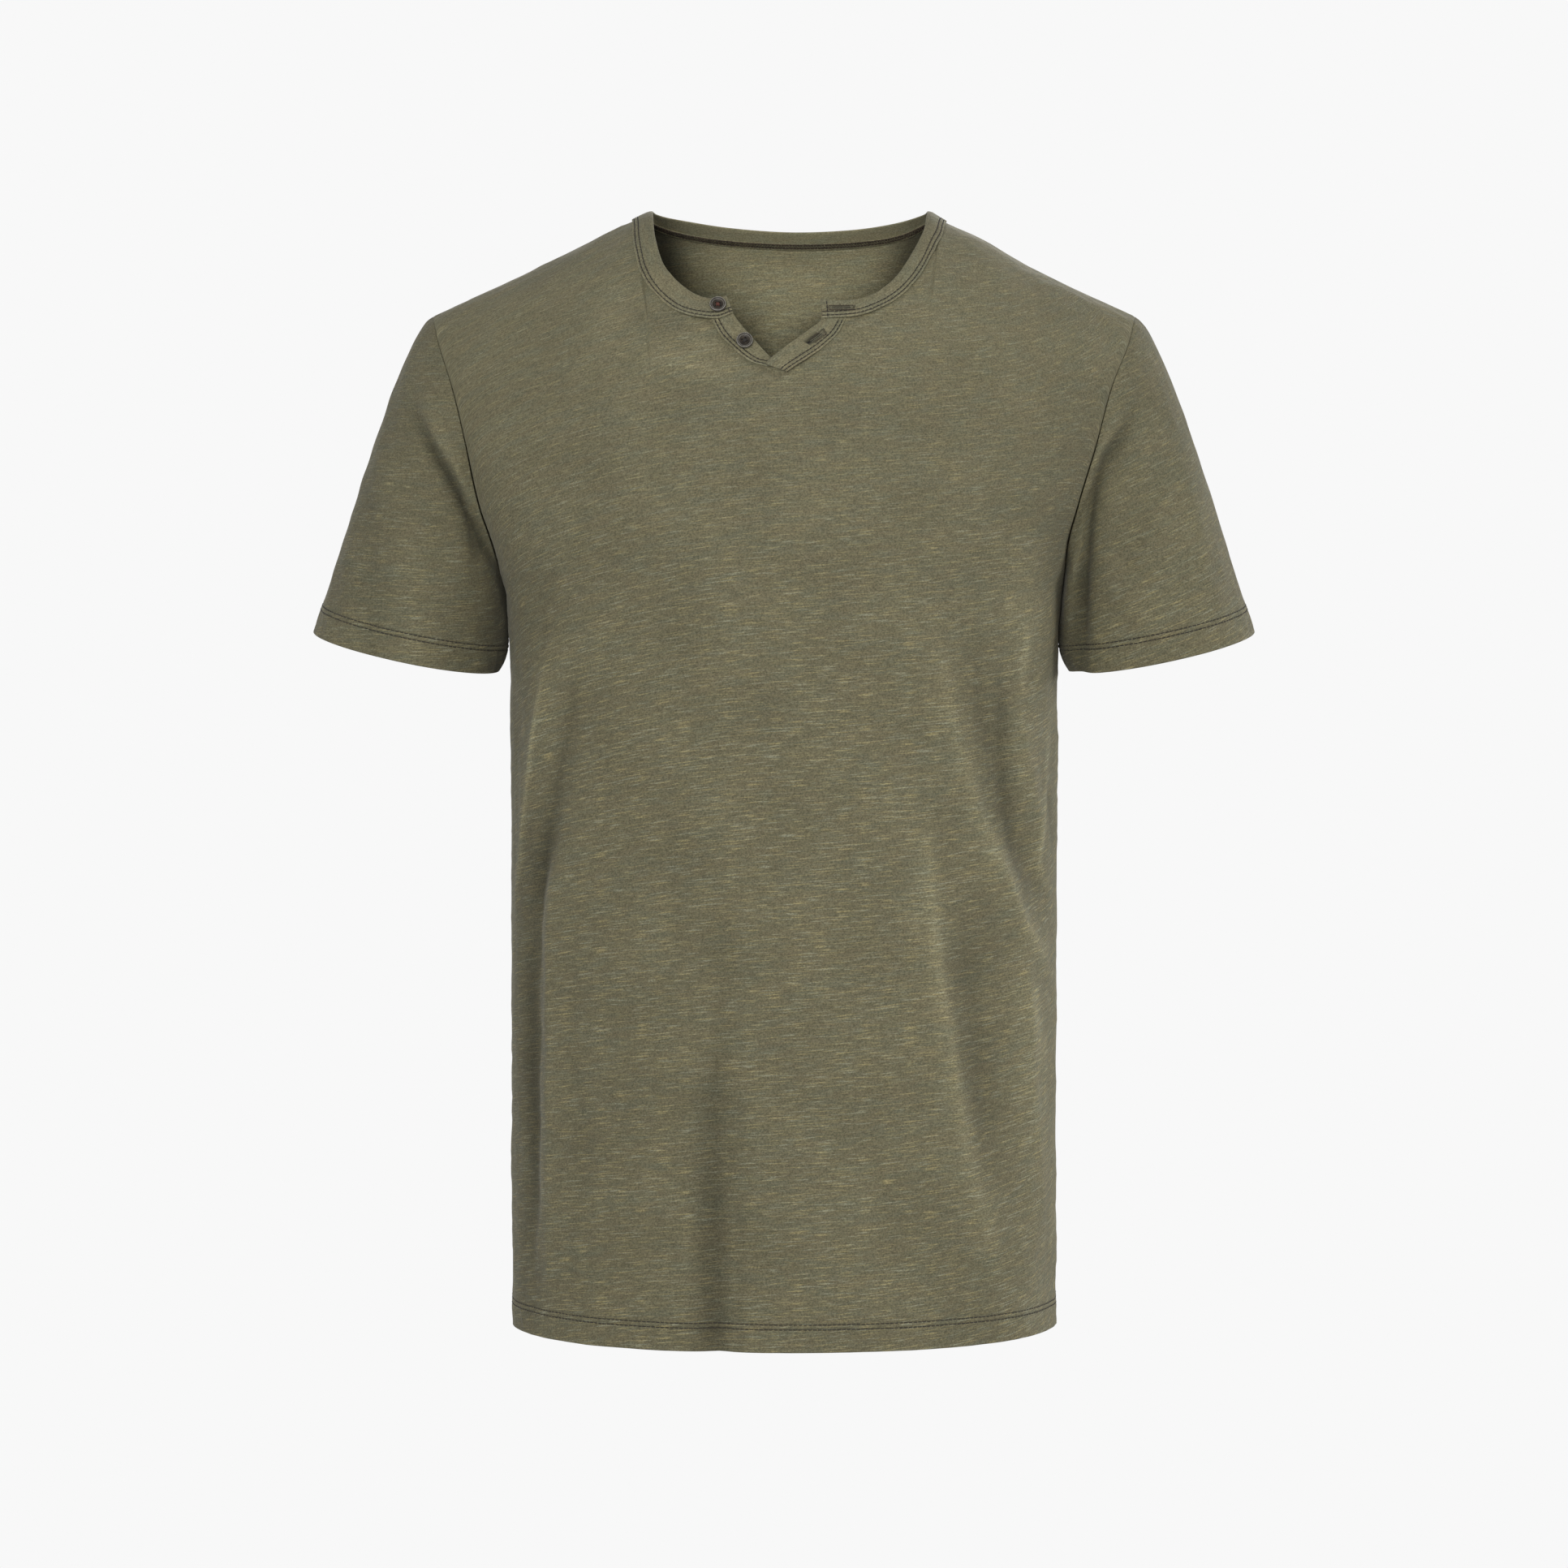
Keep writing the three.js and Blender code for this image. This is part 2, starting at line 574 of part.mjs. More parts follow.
// A closed wall between two grids of points; round joins its last column to its first
function wallGeometry(outer, inner, columns, rows, round) {
  const across = round ? columns : columns + 1;
  const second = outer.length;
  const at = (i, j) => (i % across) + j * across;
  const index = [];
  const quad = (a, b, c, d) => index.push(a, b, c, a, c, d);
  for (let j = 0; j < rows; j += 1)
    for (let i = 0; i < columns; i += 1) {
      quad(at(i, j), at(i + 1, j), at(i + 1, j + 1), at(i, j + 1));
      quad(second + at(i, j), second + at(i, j + 1), second + at(i + 1, j + 1), second + at(i + 1, j));
    }
  for (let i = 0; i < columns; i += 1) {
    quad(at(i + 1, 0), at(i, 0), second + at(i, 0), second + at(i + 1, 0));
    quad(at(i, rows), at(i + 1, rows), second + at(i + 1, rows), second + at(i, rows));
  }
  if (!round)
    for (let j = 0; j < rows; j += 1) {
      quad(at(0, j), at(0, j + 1), second + at(0, j + 1), second + at(0, j));
      quad(at(columns, j + 1), at(columns, j), second + at(columns, j), second + at(columns, j + 1));
    }
  const geometry = new THREE.BufferGeometry().setFromPoints([...outer, ...inner]);
  geometry.setIndex(index);
  return facingOut(geometry);
}

function asManifold(geometry) {
  const bare = geometry.clone();
  bare.deleteAttribute("normal");
  bare.deleteAttribute("uv");
  const merged = mergeVertices(bare);
  return new wasm.Manifold(
    new wasm.Mesh({
      numProp: 3,
      vertProperties: merged.attributes.position.array,
      triVerts: new Uint32Array(merged.index.array),
    }),
  );
}

// Turns every face round where a closed geometry is inside out
function facingOut(geometry) {
  if (asManifold(geometry).volume() > 0) return geometry;
  const index = geometry.index.array;
  for (let n = 0; n < index.length; n += 3) [index[n + 1], index[n + 2]] = [index[n + 2], index[n + 1]];
  return geometry;
}

function fromManifold(solid) {
  const made = solid.getMesh();
  const positions = new Float32Array(made.numVert * 3);
  for (let n = 0; n < made.numVert; n += 1)
    positions.set(made.vertProperties.subarray(n * made.numProp, n * made.numProp + 3), n * 3);
  const geometry = new THREE.BufferGeometry();
  geometry.setAttribute("position", new THREE.BufferAttribute(positions, 3));
  geometry.setIndex(new THREE.BufferAttribute(made.triVerts, 1));
  return geometry;
}

const cut = (geometry, tools) =>
  fromManifold(tools.reduce((left, tool) => left.subtract(asManifold(tool)), asManifold(geometry)));

// A front or back panel: its columns crowd towards the side seams, where its sections turn.
// Where it meets another piece it is drawn back by half a seam's gap and ends square to it.
function panelGeometry(side) {
  const cloth = panelCloth(side);
  const rows = ROWS_BELOW + ROWS_ABOVE;
  const outer = [];
  const inner = [];
  for (let j = 0; j <= rows; j += 1)
    for (let i = 0; i <= COLUMNS; i += 1) {
      const share = Math.sin(QUARTER * ((2 * i) / COLUMNS - 1));
      const level = j <= ROWS_BELOW ? j / ROWS_BELOW - 1 : (j - ROWS_BELOW) / ROWS_ABOVE;
      const point = cloth(share, level);
      const normal = facing(cloth, share, level, torsoCore(point));
      const atSide = i === 0 || i === COLUMNS;
      if (j === rows || (atSide && j <= ROWS_BELOW)) {
        normal.setY(0).normalize();
        point.y += (side * SEAM_GAP) / 2;
      } else if (atSide) point.x -= (Math.sign(share) * SEAM_GAP) / 2;
      outer.push(point);
      inner.push(point.clone().addScaledVector(normal, -WALL));
    }
  return wallGeometry(outer, inner, COLUMNS, rows, false);
}

// Tilt of the torso's surface that shows at x, z, seen level: negative in front, positive at the back
function tiltAt(side, x, z) {
  const rise = clamp((z - ARM_Z) / (read(RIDGE, "x", x, "z") - ARM_Z), 0, 1);
  return side * Math.acos(rise ** (archOf(side) / 2));
}

// The torso's cloth at x and a signed tilt, for what lies on it
function torsoCloth(x, tilt) {
  const plain = (u, v) => above(v < 0 ? FRONT : BACK, u, Math.abs(v));
  const point = plain(x, tilt);
  const paths = bodyPaths(tilt < 0 ? FRONT : BACK);
  const height = ease(Math.abs(tilt) / RIDGE_FADE) * lifted(paths, point.x, point.z);
  if (Math.abs(height) < NO_FOLD) return point;
  return point.addScaledVector(facing(plain, x, tilt, torsoCore(point)), height);
}

// A strip's rows, with the height of each edge turned into a tilt
const stripRows = (table) =>
  table.map((row) => ({
    sewnX: row.sewnX,
    sewnTilt: tiltAt(row.side, row.sewnX, row.sewnZ),
    freeX: row.freeX,
    freeTilt: tiltAt(row.side, row.freeX, row.freeZ),
    lift: row.lift,
  }));

// A point of a strip: row number, share of its width from the sewn edge, height above its lower face
function stripPoint(rows, row, share, height) {
  const surface = (r, s) =>
    torsoCloth(
      mix(along(rows, r, "sewnX"), along(rows, r, "freeX"), s),
      mix(along(rows, r, "sewnTilt"), along(rows, r, "freeTilt"), s),
    );
  const point = surface(row, share);
  const normal = facing(surface, row, share, torsoCore(point));
  return point.addScaledVector(normal, along(rows, row, "lift") + height);
}

function stripGeometry(table, steps) {
  const rows = stripRows(table);
  const count = (table.length - 1) * steps;
  const outer = [];
  const inner = [];
  for (let j = 0; j <= STRIP_ACROSS; j += 1)
    for (let i = 0; i <= count; i += 1) {
      outer.push(stripPoint(rows, i / steps, j / STRIP_ACROSS, WALL));
      inner.push(stripPoint(rows, i / steps, j / STRIP_ACROSS, 0));
    }
  return wallGeometry(outer, inner, count, STRIP_ACROSS, false);
}

// The line under a strip, as seen from the front, at which the torso's cloth ends
function holeEdge(table, from, to) {
  const rows = stripRows(table);
  const count = Math.abs(to - from) * HOLE_STEPS;
  return Array.from({ length: count + 1 }, (_, n) => {
    const point = stripPoint(rows, mix(from, to, n / count), UNDERLAP, 0);
    return new THREE.Vector2(point.x, point.z);
  });
}

// What is cut from a panel for the neck hole: the hole's outline, closed over the top, run front to back
function neckCutter(side, edge) {
  const over = [edge.at(-1), edge[0]].map((point) => new THREE.Vector2(point.x, CUTTER.top));
  const shape = new THREE.Shape([...edge, ...over]);
  const depth = CUTTER.reach + CUTTER.past;
  const geometry = new THREE.ExtrudeGeometry(shape, { depth, bevelEnabled: false });
  geometry.rotateX(QUARTER);
  geometry.translate(0, side === FRONT ? CUTTER.past : CUTTER.reach, 0);
  return geometry;
}

function frontNeckEdge() {
  return [
    ...holeEdge(NECKBAND, RIGHT_RIDGE, BAND_ON_PLACKET),
    ...holeEdge(BUTTON_PLACKET, 1, BUTTON_PLACKET.length - 1),
    ...holeEdge(BUTTONHOLE_PLACKET, BUTTONHOLE_PLACKET.length - 1, 1),
    ...holeEdge(NECKBAND, NECKBAND.length - 1 - BAND_ON_PLACKET, LEFT_RIDGE),
  ];
}

// A place on the front, with the direction in which it faces
function spotOnFront(x, z) {
  const tilt = tiltAt(FRONT, x, z);
  const point = torsoCloth(x, tilt);
  return { point, normal: facing(torsoCloth, x, tilt, torsoCore(point)) };
}

function slitCutter({ x, z, lean }) {
  const { point, normal } = spotOnFront(x, z);
  const angle = THREE.MathUtils.degToRad(lean);
  const lengthwise = new THREE.Vector3(Math.cos(angle), 0, Math.sin(angle));
  lengthwise.addScaledVector(normal, -lengthwise.dot(normal)).normalize();
  const across = normal.clone().cross(lengthwise);
  const place = new THREE.Matrix4().makeBasis(lengthwise, across, normal).setPosition(point);
  return new THREE.BoxGeometry(SLIT.length, SLIT.width, SLIT.reach).applyMatrix4(place);
}

// The armhole's edge: around is 0 at the shoulder, 1 at the armpit and 2 back at the shoulder, by the
// front first
function armhole(hand, around) {
  const part = ((around % 2) + 2) % 2;
  return part <= 1 ? panelPoint(FRONT, hand, 1 - part) : panelPoint(BACK, hand, part - 1);
}

function cuff(hand, around) {
  const out = Math.cos(Math.PI * around);
  const forward = Math.sin(Math.PI * around);
  const { outerX, outerZ, innerX, innerZ, halfDepth, frontDrop } = CUFF;
  return new THREE.Vector3(
    hand * mix(innerX, outerX, (out + 1) / 2),
    -forward * halfDepth,
    mix(innerZ, outerZ, (out + 1) / 2) - forward * frontDrop,
  );
}

// A sleeve's plain point, on a curve from the armhole (share 0) to the cuff (share 1)
function sleevePoint(hand, around, share) {
  const away = -Math.sin(Math.PI * around);
  const pull = (rows) => {
    const at = (column) => read(rows, "out", Math.cos(Math.PI * around), column);
    return new THREE.Vector3(hand * at("side"), away * at("away"), at("up")).setLength(at("pull"));
  };
  return new THREE.Vector3()
    .addScaledVector(armhole(hand, around), (1 + 2 * share) * (1 - share) ** 2)
    .addScaledVector(pull(SLEEVE_RUN.leaves), share * (1 - share) ** 2)
    .addScaledVector(cuff(hand, around), share * share * (3 - 2 * share))
    .addScaledVector(pull(SLEEVE_RUN.meets), share * share * (share - 1));
}

const sleeveCore = (hand, share) =>
  sleevePoint(hand, 0, share).add(sleevePoint(hand, 1, share)).multiplyScalar(0.5);

// A sleeve's point with its folds
function sleeveCloth(hand) {
  const plain = (around, share) => sleevePoint(hand, around, share);
  const front = sleevePaths(hand, FRONT);
  const back = sleevePaths(hand, BACK);
  return (around, share) => {
    const point = plain(around, share);
    const forward = Math.sin(Math.PI * around);
    const fade = ease(share / SLEEVE_FADE) * ease(Math.abs(forward) / SLEEVE_RIDGE_FADE);
    const height = fade * lifted(forward > 0 ? front : back, point.x, point.z);
    if (Math.abs(height) < NO_FOLD) return point;
    return point.addScaledVector(facing(plain, around, share, sleeveCore(hand, share)), height);
  };
}

function sleeveGeometry(hand) {
  const cloth = sleeveCloth(hand);
  const outer = [];
  const inner = [];
  for (let j = 0; j <= SLEEVE_ALONG; j += 1)
    for (let i = 0; i < SLEEVE_AROUND; i += 1) {
      const around = (2 * i) / SLEEVE_AROUND;
      const share = j / SLEEVE_ALONG;
      const point = cloth(around, share);
      const normal = facing(cloth, around, share, sleeveCore(hand, share));
      if (j === 0) point.x += hand * SEAM_GAP;
      outer.push(point);
      inner.push(point.clone().addScaledVector(normal, -WALL));
    }
  return wallGeometry(outer, inner, SLEEVE_AROUND, SLEEVE_ALONG, true);
}

// A round button with a raised rim, a dished middle and four holes
function buttonGeometry() {
  const { radius, thickness, rim, dish, edge, holeRadius, holeSpread } = BUTTON;
  const profile = [
    [0, 0],
    [radius - edge, 0],
    [radius, edge],
    [radius, thickness - edge],
    [radius - edge, thickness],
    [radius - rim, thickness],
    [radius - rim - dish, thickness - dish],
    [0, thickness - dish],
  ].map(([x, y]) => new THREE.Vector2(x, y));
  const holes = [0, 1, 2, 3].map((n) => {
    const hole = new THREE.CylinderGeometry(holeRadius, holeRadius, 3 * thickness, HOLE_SIDES);
    const angle = QUARTER * (n + 0.5);
    return hole.translate(holeSpread * Math.cos(angle), 0, holeSpread * Math.sin(angle));
  });
  return cut(new THREE.LatheGeometry(profile, BUTTON_SIDES), holes);
}

const finish = (color, roughness, metalness) =>
  new THREE.MeshStandardMaterial({ color, roughness, metalness });
const clothMaterial = () => finish(0x726e58, 0.95, 0);
const buttonMaterial = () => finish(0x6b665c, 0.35, 0.2);

const shirt = new THREE.Group();

function addPiece(name, geometry, material) {
  const piece = new THREE.Mesh(geometry, material);
  piece.name = name;
  shirt.add(piece);
  return piece;
}

const slitsIn = (name) => BUTTONHOLES.filter((hole) => hole.piece === name).map(slitCutter);
const backNeckEdge = holeEdge(NECKBAND, RIGHT_RIDGE, LEFT_RIDGE);

addPiece("front", cut(panelGeometry(FRONT), [neckCutter(FRONT, frontNeckEdge())]), clothMaterial());
addPiece("back", cut(panelGeometry(BACK), [neckCutter(BACK, backNeckEdge)]), clothMaterial());
addPiece("sleeve_right", sleeveGeometry(WEARER_RIGHT), clothMaterial());
addPiece("sleeve_left", sleeveGeometry(WEARER_LEFT), clothMaterial());
addPiece("neckband", cut(stripGeometry(NECKBAND, BAND_STEPS), slitsIn("neckband")), clothMaterial());
addPiece("placket_button", stripGeometry(BUTTON_PLACKET, PLACKET_STEPS), clothMaterial());
addPiece(
  "placket_buttonhole",
  cut(stripGeometry(BUTTONHOLE_PLACKET, PLACKET_STEPS), slitsIn("placket_buttonhole")),
  clothMaterial(),
);
for (const { name, x, z, lift } of BUTTONS) {
  const { point, normal } = spotOnFront(x, z);
  const button = addPiece(name, buttonGeometry(), buttonMaterial());
  button.position.copy(point).addScaledVector(normal, lift + WALL + SEAM_GAP);
  button.quaternion.setFromUnitVectors(new THREE.Vector3(0, 1, 0), normal);
}

export default shirt;
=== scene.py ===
"""A short-sleeved henley shirt in slub jersey, filled out as worn, with an open two-button neck."""

import math

import bpy
import numpy as np
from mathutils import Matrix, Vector


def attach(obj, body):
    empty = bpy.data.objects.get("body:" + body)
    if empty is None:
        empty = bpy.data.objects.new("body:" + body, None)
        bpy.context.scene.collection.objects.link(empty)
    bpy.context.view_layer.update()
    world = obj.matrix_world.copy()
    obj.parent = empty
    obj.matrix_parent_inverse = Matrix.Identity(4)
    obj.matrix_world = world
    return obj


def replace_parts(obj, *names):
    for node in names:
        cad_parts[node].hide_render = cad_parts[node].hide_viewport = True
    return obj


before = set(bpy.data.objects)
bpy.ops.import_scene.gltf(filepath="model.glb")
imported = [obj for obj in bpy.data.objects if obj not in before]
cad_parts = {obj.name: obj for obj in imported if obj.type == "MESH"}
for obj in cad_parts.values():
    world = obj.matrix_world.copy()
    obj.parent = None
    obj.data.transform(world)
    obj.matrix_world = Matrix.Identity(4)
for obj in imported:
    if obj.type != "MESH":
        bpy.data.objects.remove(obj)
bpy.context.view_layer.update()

# Sizes are in millimetres until a mesh is made. +X is the wearer's left, and the front faces -Y.
MM = 0.001
QUARTER = math.pi / 2
FRONT, BACK = -1, 1
WEARER_RIGHT, WEARER_LEFT = -1, 1

# The form, with the same tables as the solids
WALL = 1.2
SEAM_GAP = 0.3
HEM_Z = -711
ARM_Z = -245
ROUNDNESS = 2.2
FRONT_ARCH = 2.2
BACK_ARCH = 2.6


def table(names, *rows):
    """Rows of numbers under named columns, kept as one array for each column."""
    return {name: np.array([row[n] for row in rows], float) for n, name in enumerate(names.split())}


RIDGE = table(
    "x z",
    (-223.5, -68), (-158, -38), (-116, -17.2), (-96, -8), (-83, -2.8),
    (91, -2.8), (101, -8), (122, -17.2), (158, -37.6), (223.5, -68),
)
BELOW = table(
    "z half front back",
    (-711, 174.5, 125, 122), (-560, 174.5, 124, 116), (-400, 174.5, 124, 108),
    (-281, 174.7, 126, 114), (-245, 177, 127, 118),
)
ABOVE = table(
    "rise right left arm_front arm_back wrap",
    (0, 177, 177, 0, 0, 1),
    (0.15, 183, 178.5, 34, 36, 0.997),
    (0.3, 191.5, 185, 50, 52, 0.985),
    (0.5, 199, 195.5, 57, 60, 0.96),
    (0.7, 207.5, 205, 52, 56, 0.93),
    (0.88, 217.5, 217, 33, 38, 0.9),
    (0.97, 221.8, 221.6, 15, 17, 0.885),
    (1, 223.5, 223.5, 0, 0, 0.88),
)
CUFF = {"outer": (300.3, -268.3), "inner": (182, -293.8), "half_depth": 60, "front_drop": 5.2}
SLEEVE_LEAVES = table(
    "out side away up pull", (-1, 0, 0, -1, 60), (0, 0.66, 0.05, -0.75, 95), (1, 0.82, 0, -0.57, 70),
)
SLEEVE_MEETS = table(
    "out side away up pull", (-1, 0.5, 0, -0.87, 60), (0, 0.22, 0, -0.97, 110), (1, 0.315, 0, -0.95, 370),
)

# Strips: the edge that is sewn down, the free edge, and the lift off the torso
STRIP_COLUMNS = "side sewn_x sewn_z free_x free_z lift"
NECKBAND = table(
    STRIP_COLUMNS,
    (FRONT, -31, -71.4, -35.5, -60.4, 2.2),
    (FRONT, -42, -74.6, -42, -62.3, 2.2),
    (FRONT, -57, -73, -51, -61, 2.2),
    (FRONT, -69, -67.5, -60, -55.3, 0.5),
    (FRONT, -81, -57, -69.5, -46.5, 0.5),
    (FRONT, -89, -44.5, -76, -36.5, 0.5),
    (FRONT, -93.5, -27, -80.5, -21, 0.5),
    (FRONT, -95, -14.5, -82, -10, 0.6),
    (BACK, -96, -8.2, -83, -2.8, 0.6),
    (BACK, -91.5, -10.8, -78.5, -4, 0.6),
    (BACK, -75, -16.4, -64, -6.2, 0.5),
    (BACK, -45, -22, -36, -9.8, 0.5),
    (BACK, 4, -24.8, 4, -12.3, 0.5),
    (BACK, 53, -23.2, 44, -11, 0.5),
    (BACK, 82, -17.8, 71, -7.6, 0.5),
    (BACK, 99, -11.2, 86.5, -4.2, 0.6),
    (BACK, 103, -9.1, 90.8, -2.8, 0.6),
    (FRONT, 100, -15.5, 89, -10.2, 0.6),
    (FRONT, 96.5, -24, 86.5, -19, 0.5),
    (FRONT, 90, -37, 80, -31.5, 0.5),
    (FRONT, 80, -52, 70.5, -46, 0.5),
    (FRONT, 66.5, -63.5, 59, -56.2, 0.5),
    (FRONT, 50, -71.7, 48, -62, 2.2),
    (FRONT, 37, -73.8, 36, -63.7, 2.2),
    (FRONT, 23.2, -74.5, 22.3, -63, 2.2),
)
BUTTON_PLACKET = table(
    STRIP_COLUMNS,
    (FRONT, -45.5, -70, -33, -66.5, 0.5),
    (FRONT, -44, -76, -31, -71.5, 0.5),
    (FRONT, -39, -84.5, -25, -79.5, 0.5),
    (FRONT, -31, -92.7, -18.8, -86.6, 0.5),
    (FRONT, -21, -100.6, -11.5, -94.8, 0.5),
    (FRONT, -10, -104, -5.5, -100.2, 0.5),
)
BUTTONHOLE_PLACKET = table(
    STRIP_COLUMNS,
    (FRONT, 39, -70, 24.5, -71, 0.5),
    (FRONT, 37.6, -75, 21.5, -76.3, 0.5),
    (FRONT, 32.5, -84, 16, -80.3, 0.5),
    (FRONT, 22.6, -93.2, 9, -85.7, 0.9),
    (FRONT, 12.5, -100.4, 0.5, -92.3, 2.2),
    (FRONT, 4, -106, -8, -99, 2.2),
    (FRONT, 1.9, -107.6, -11.3, -103.2, 2.2),
)
UNDERLAP = 0.36  # share of a strip's width, from its sewn edge, at which the panel ends under it
BAND_ON_PLACKET = 2  # rows at each end of the neckband that lie over a placket
RIGHT_RIDGE, LEFT_RIDGE = 8, 16  # rows of the neckband at the shoulder ridge

BUTTONS = (("button_upper", -40.6, -67.3, 2.2), ("button_lower", -24.1, -88.7, 0.5))  # name, x, z, lift
# Buttonholes: x, z, lean, lift, and half the height of the frame of stitches
BUTTONHOLES = {"neckband": (35.1, -68.4, 2, 2.2, 1.8), "placket_buttonhole": (18.9, -87, 40, 0.5, 2.3)}

# Folds: a path seen from the front, the height of its crest above the form, and the crest's half width
FOLD_COLUMNS = "x z height width"
FRONT_FOLDS = (
    # deep trough down the wearer's right side, and the ridges beside it
    table(
        FOLD_COLUMNS, (-118, -290, 0, 12), (-134, -349, -2, 11), (-147, -400, -4.5, 9), (-156, -440, -6, 8),
        (-159, -584, -6, 8), (-159, -650, -3.5, 8), (-158, -700, -1, 8),
    ),
    table(
        FOLD_COLUMNS, (-128, -280, 0, 12), (-141, -400, 2, 9), (-147, -450, 3, 7), (-148, -600, 3, 7),
        (-147, -690, 1, 7),
    ),
    table(FOLD_COLUMNS, (-140, -255, 0, 12), (-151, -310, 3, 10), (-163, -370, 2.5, 8), (-168, -430, 0, 7)),
    # shallow creases between the side and the middle
    table(FOLD_COLUMNS, (-129, -457, 0, 8), (-131, -520, -1.5, 7), (-127, -594, -2, 7), (-132, -650, 0, 8)),
    table(FOLD_COLUMNS, (-70, -350, 0, 9), (-68, -427, -1.3, 9), (-72, -490, 0, 9)),
    # trough that falls to the hem
    table(
        FOLD_COLUMNS, (-40, -400, 0, 8), (-39, -500, -2.2, 9), (-44, -556, -4.5, 13), (-41, -626, -6, 12),
        (-40, -725, -7, 11),
    ),
    # long ridge from the wearer's left breast to the side, and what lies outside it
    table(
        FOLD_COLUMNS, (86, -240, 0, 10), (99, -297, 3.5, 9), (108, -340, 4.5, 8), (118, -380, 4.5, 8),
        (133, -415, 4.5, 8), (149, -450, 4, 8), (168, -480, 1, 8),
    ),
    table(
        FOLD_COLUMNS, (112, -262, 0, 9), (123, -310, -3.5, 9), (135, -355, -4, 9), (150, -405, -3.5, 8),
        (166, -442, -1, 8),
    ),
    table(FOLD_COLUMNS, (143, -300, 0, 8), (150, -344, 3.5, 8), (157, -380, 3.5, 7), (168, -430, 0, 7)),
    # full lobe below the wearer's left armhole
    table(FOLD_COLUMNS, (146, -200, 0, 16), (151, -240, 5, 17), (152, -280, 3.5, 15), (150, -318, 0, 12)),
    # long ridge from the waist to the hem on the wearer's left, and the hollow outside it
    table(
        FOLD_COLUMNS, (78, -340, 0, 12), (84, -407, 3, 11), (92, -455, 4.5, 11), (98, -510, 5, 11),
        (106, -560, 5, 11), (116, -610, 4, 11), (131, -655, 2, 11), (140, -690, 0, 11),
    ),
    table(FOLD_COLUMNS, (108, -420, 0, 14), (116, -480, -3.5, 14), (126, -560, -3.5, 14),
        (134, -620, 0, 12)),
    table(
        FOLD_COLUMNS, (149, -448, 0, 8), (153, -500, 3.5, 8), (155, -550, 3.5, 8), (161, -610, 2.5, 8),
        (163, -660, 0, 8),
    ),
    table(FOLD_COLUMNS, (42, -585, 0, 11), (50, -632, 2, 10), (57, -690, 1, 10)),
    # drag line from the wearer's right shoulder to the point of the opening
    table(FOLD_COLUMNS, (-125, -78, 0, 9), (-92, -90, 1.4, 8), (-62, -98, 1, 7), (-36, -108, 0, 7)),
)
BACK_FOLDS = (
    table(
        FOLD_COLUMNS, (-60, -180, 0, 14), (-74, -300, -3, 14), (-84, -430, -5, 13), (-90, -580, -4, 14),
        (-92, -720, -2, 14),
    ),
    table(FOLD_COLUMNS, (-104, -300, 0, 12), (-112, -430, 3.5, 12), (-116, -600, 3.5, 12),
        (-118, -720, 1.5, 12)),
    table(FOLD_COLUMNS, (-140, -260, 0, 10), (-148, -360, -3.5, 9), (-152, -500, -3.5, 9),
        (-150, -640, 0, 9)),
    table(FOLD_COLUMNS, (-6, -330, 0, 13), (2, -450, -3, 13), (-4, -600, -4, 14), (-2, -725, -5, 14)),
    table(
        FOLD_COLUMNS, (56, -200, 0, 14), (66, -330, 3, 13), (78, -470, 4.5, 12), (84, -620, 4, 13),
        (86, -720, 2, 13),
    ),
    table(FOLD_COLUMNS, (92, -280, 0, 12), (106, -420, -4.5, 12), (114, -580, -4.5, 12),
        (116, -700, -1.5, 12)),
    table(FOLD_COLUMNS, (142, -270, 0, 9), (148, -380, 3.5, 9), (152, -540, 3, 9), (150, -670, 0, 9)),
)
SLEEVE_FOLDS = {
    WEARER_RIGHT: (
        table(
            FOLD_COLUMNS, (-240, -118, 0, 5), (-228, -137, -3, 5), (-215, -160, -4.5, 5),
            (-200, -187, -5, 6),
            (-190, -215, -4, 7),
        ),
        table(FOLD_COLUMNS, (-232, -112, 0, 7), (-219, -135, 3, 7), (-206, -160, 2.5, 6),
            (-198, -178, 0, 5)),
        table(FOLD_COLUMNS, (-262, -160, 0, 8), (-261, -205, -2, 8), (-258, -262, -1.5, 8),
            (-258, -300, -0.5, 8)),
        table(FOLD_COLUMNS, (-235, -180, 0, 16), (-233, -225, 2, 16), (-231, -290, 1.5, 16)),
    ),
    WEARER_LEFT: (
        table(
            FOLD_COLUMNS, (228, -108, 0, 8), (214, -140, -3.5, 8), (195, -172, -5.5, 8),
            (187, -205, -6.5, 7),
            (186, -255, -5.5, 6), (187, -300, -2.5, 6),
        ),
        table(FOLD_COLUMNS, (213, -126, 0, 6), (201, -143, 2.5, 5), (191, -162, 2.5, 5), (186, -184, 0, 5)),
        table(FOLD_COLUMNS, (236, -150, 0, 12), (226, -190, -1.8, 12), (214, -240, -1, 12),
            (210, -290, 0, 12)),
        table(FOLD_COLUMNS, (258, -150, 0, 14), (262, -210, 2, 14), (268, -280, 1.5, 14)),
    ),
}
SLEEVE_BACK_FOLDS = (
    table(FOLD_COLUMNS, (226, -120, 0, 8), (212, -160, -3.5, 8), (203, -205, -4.5, 8), (201, -280, -2, 8)),
    table(FOLD_COLUMNS, (250, -140, 0, 13), (251, -200, 2.5, 13), (256, -280, 1.5, 13)),
)

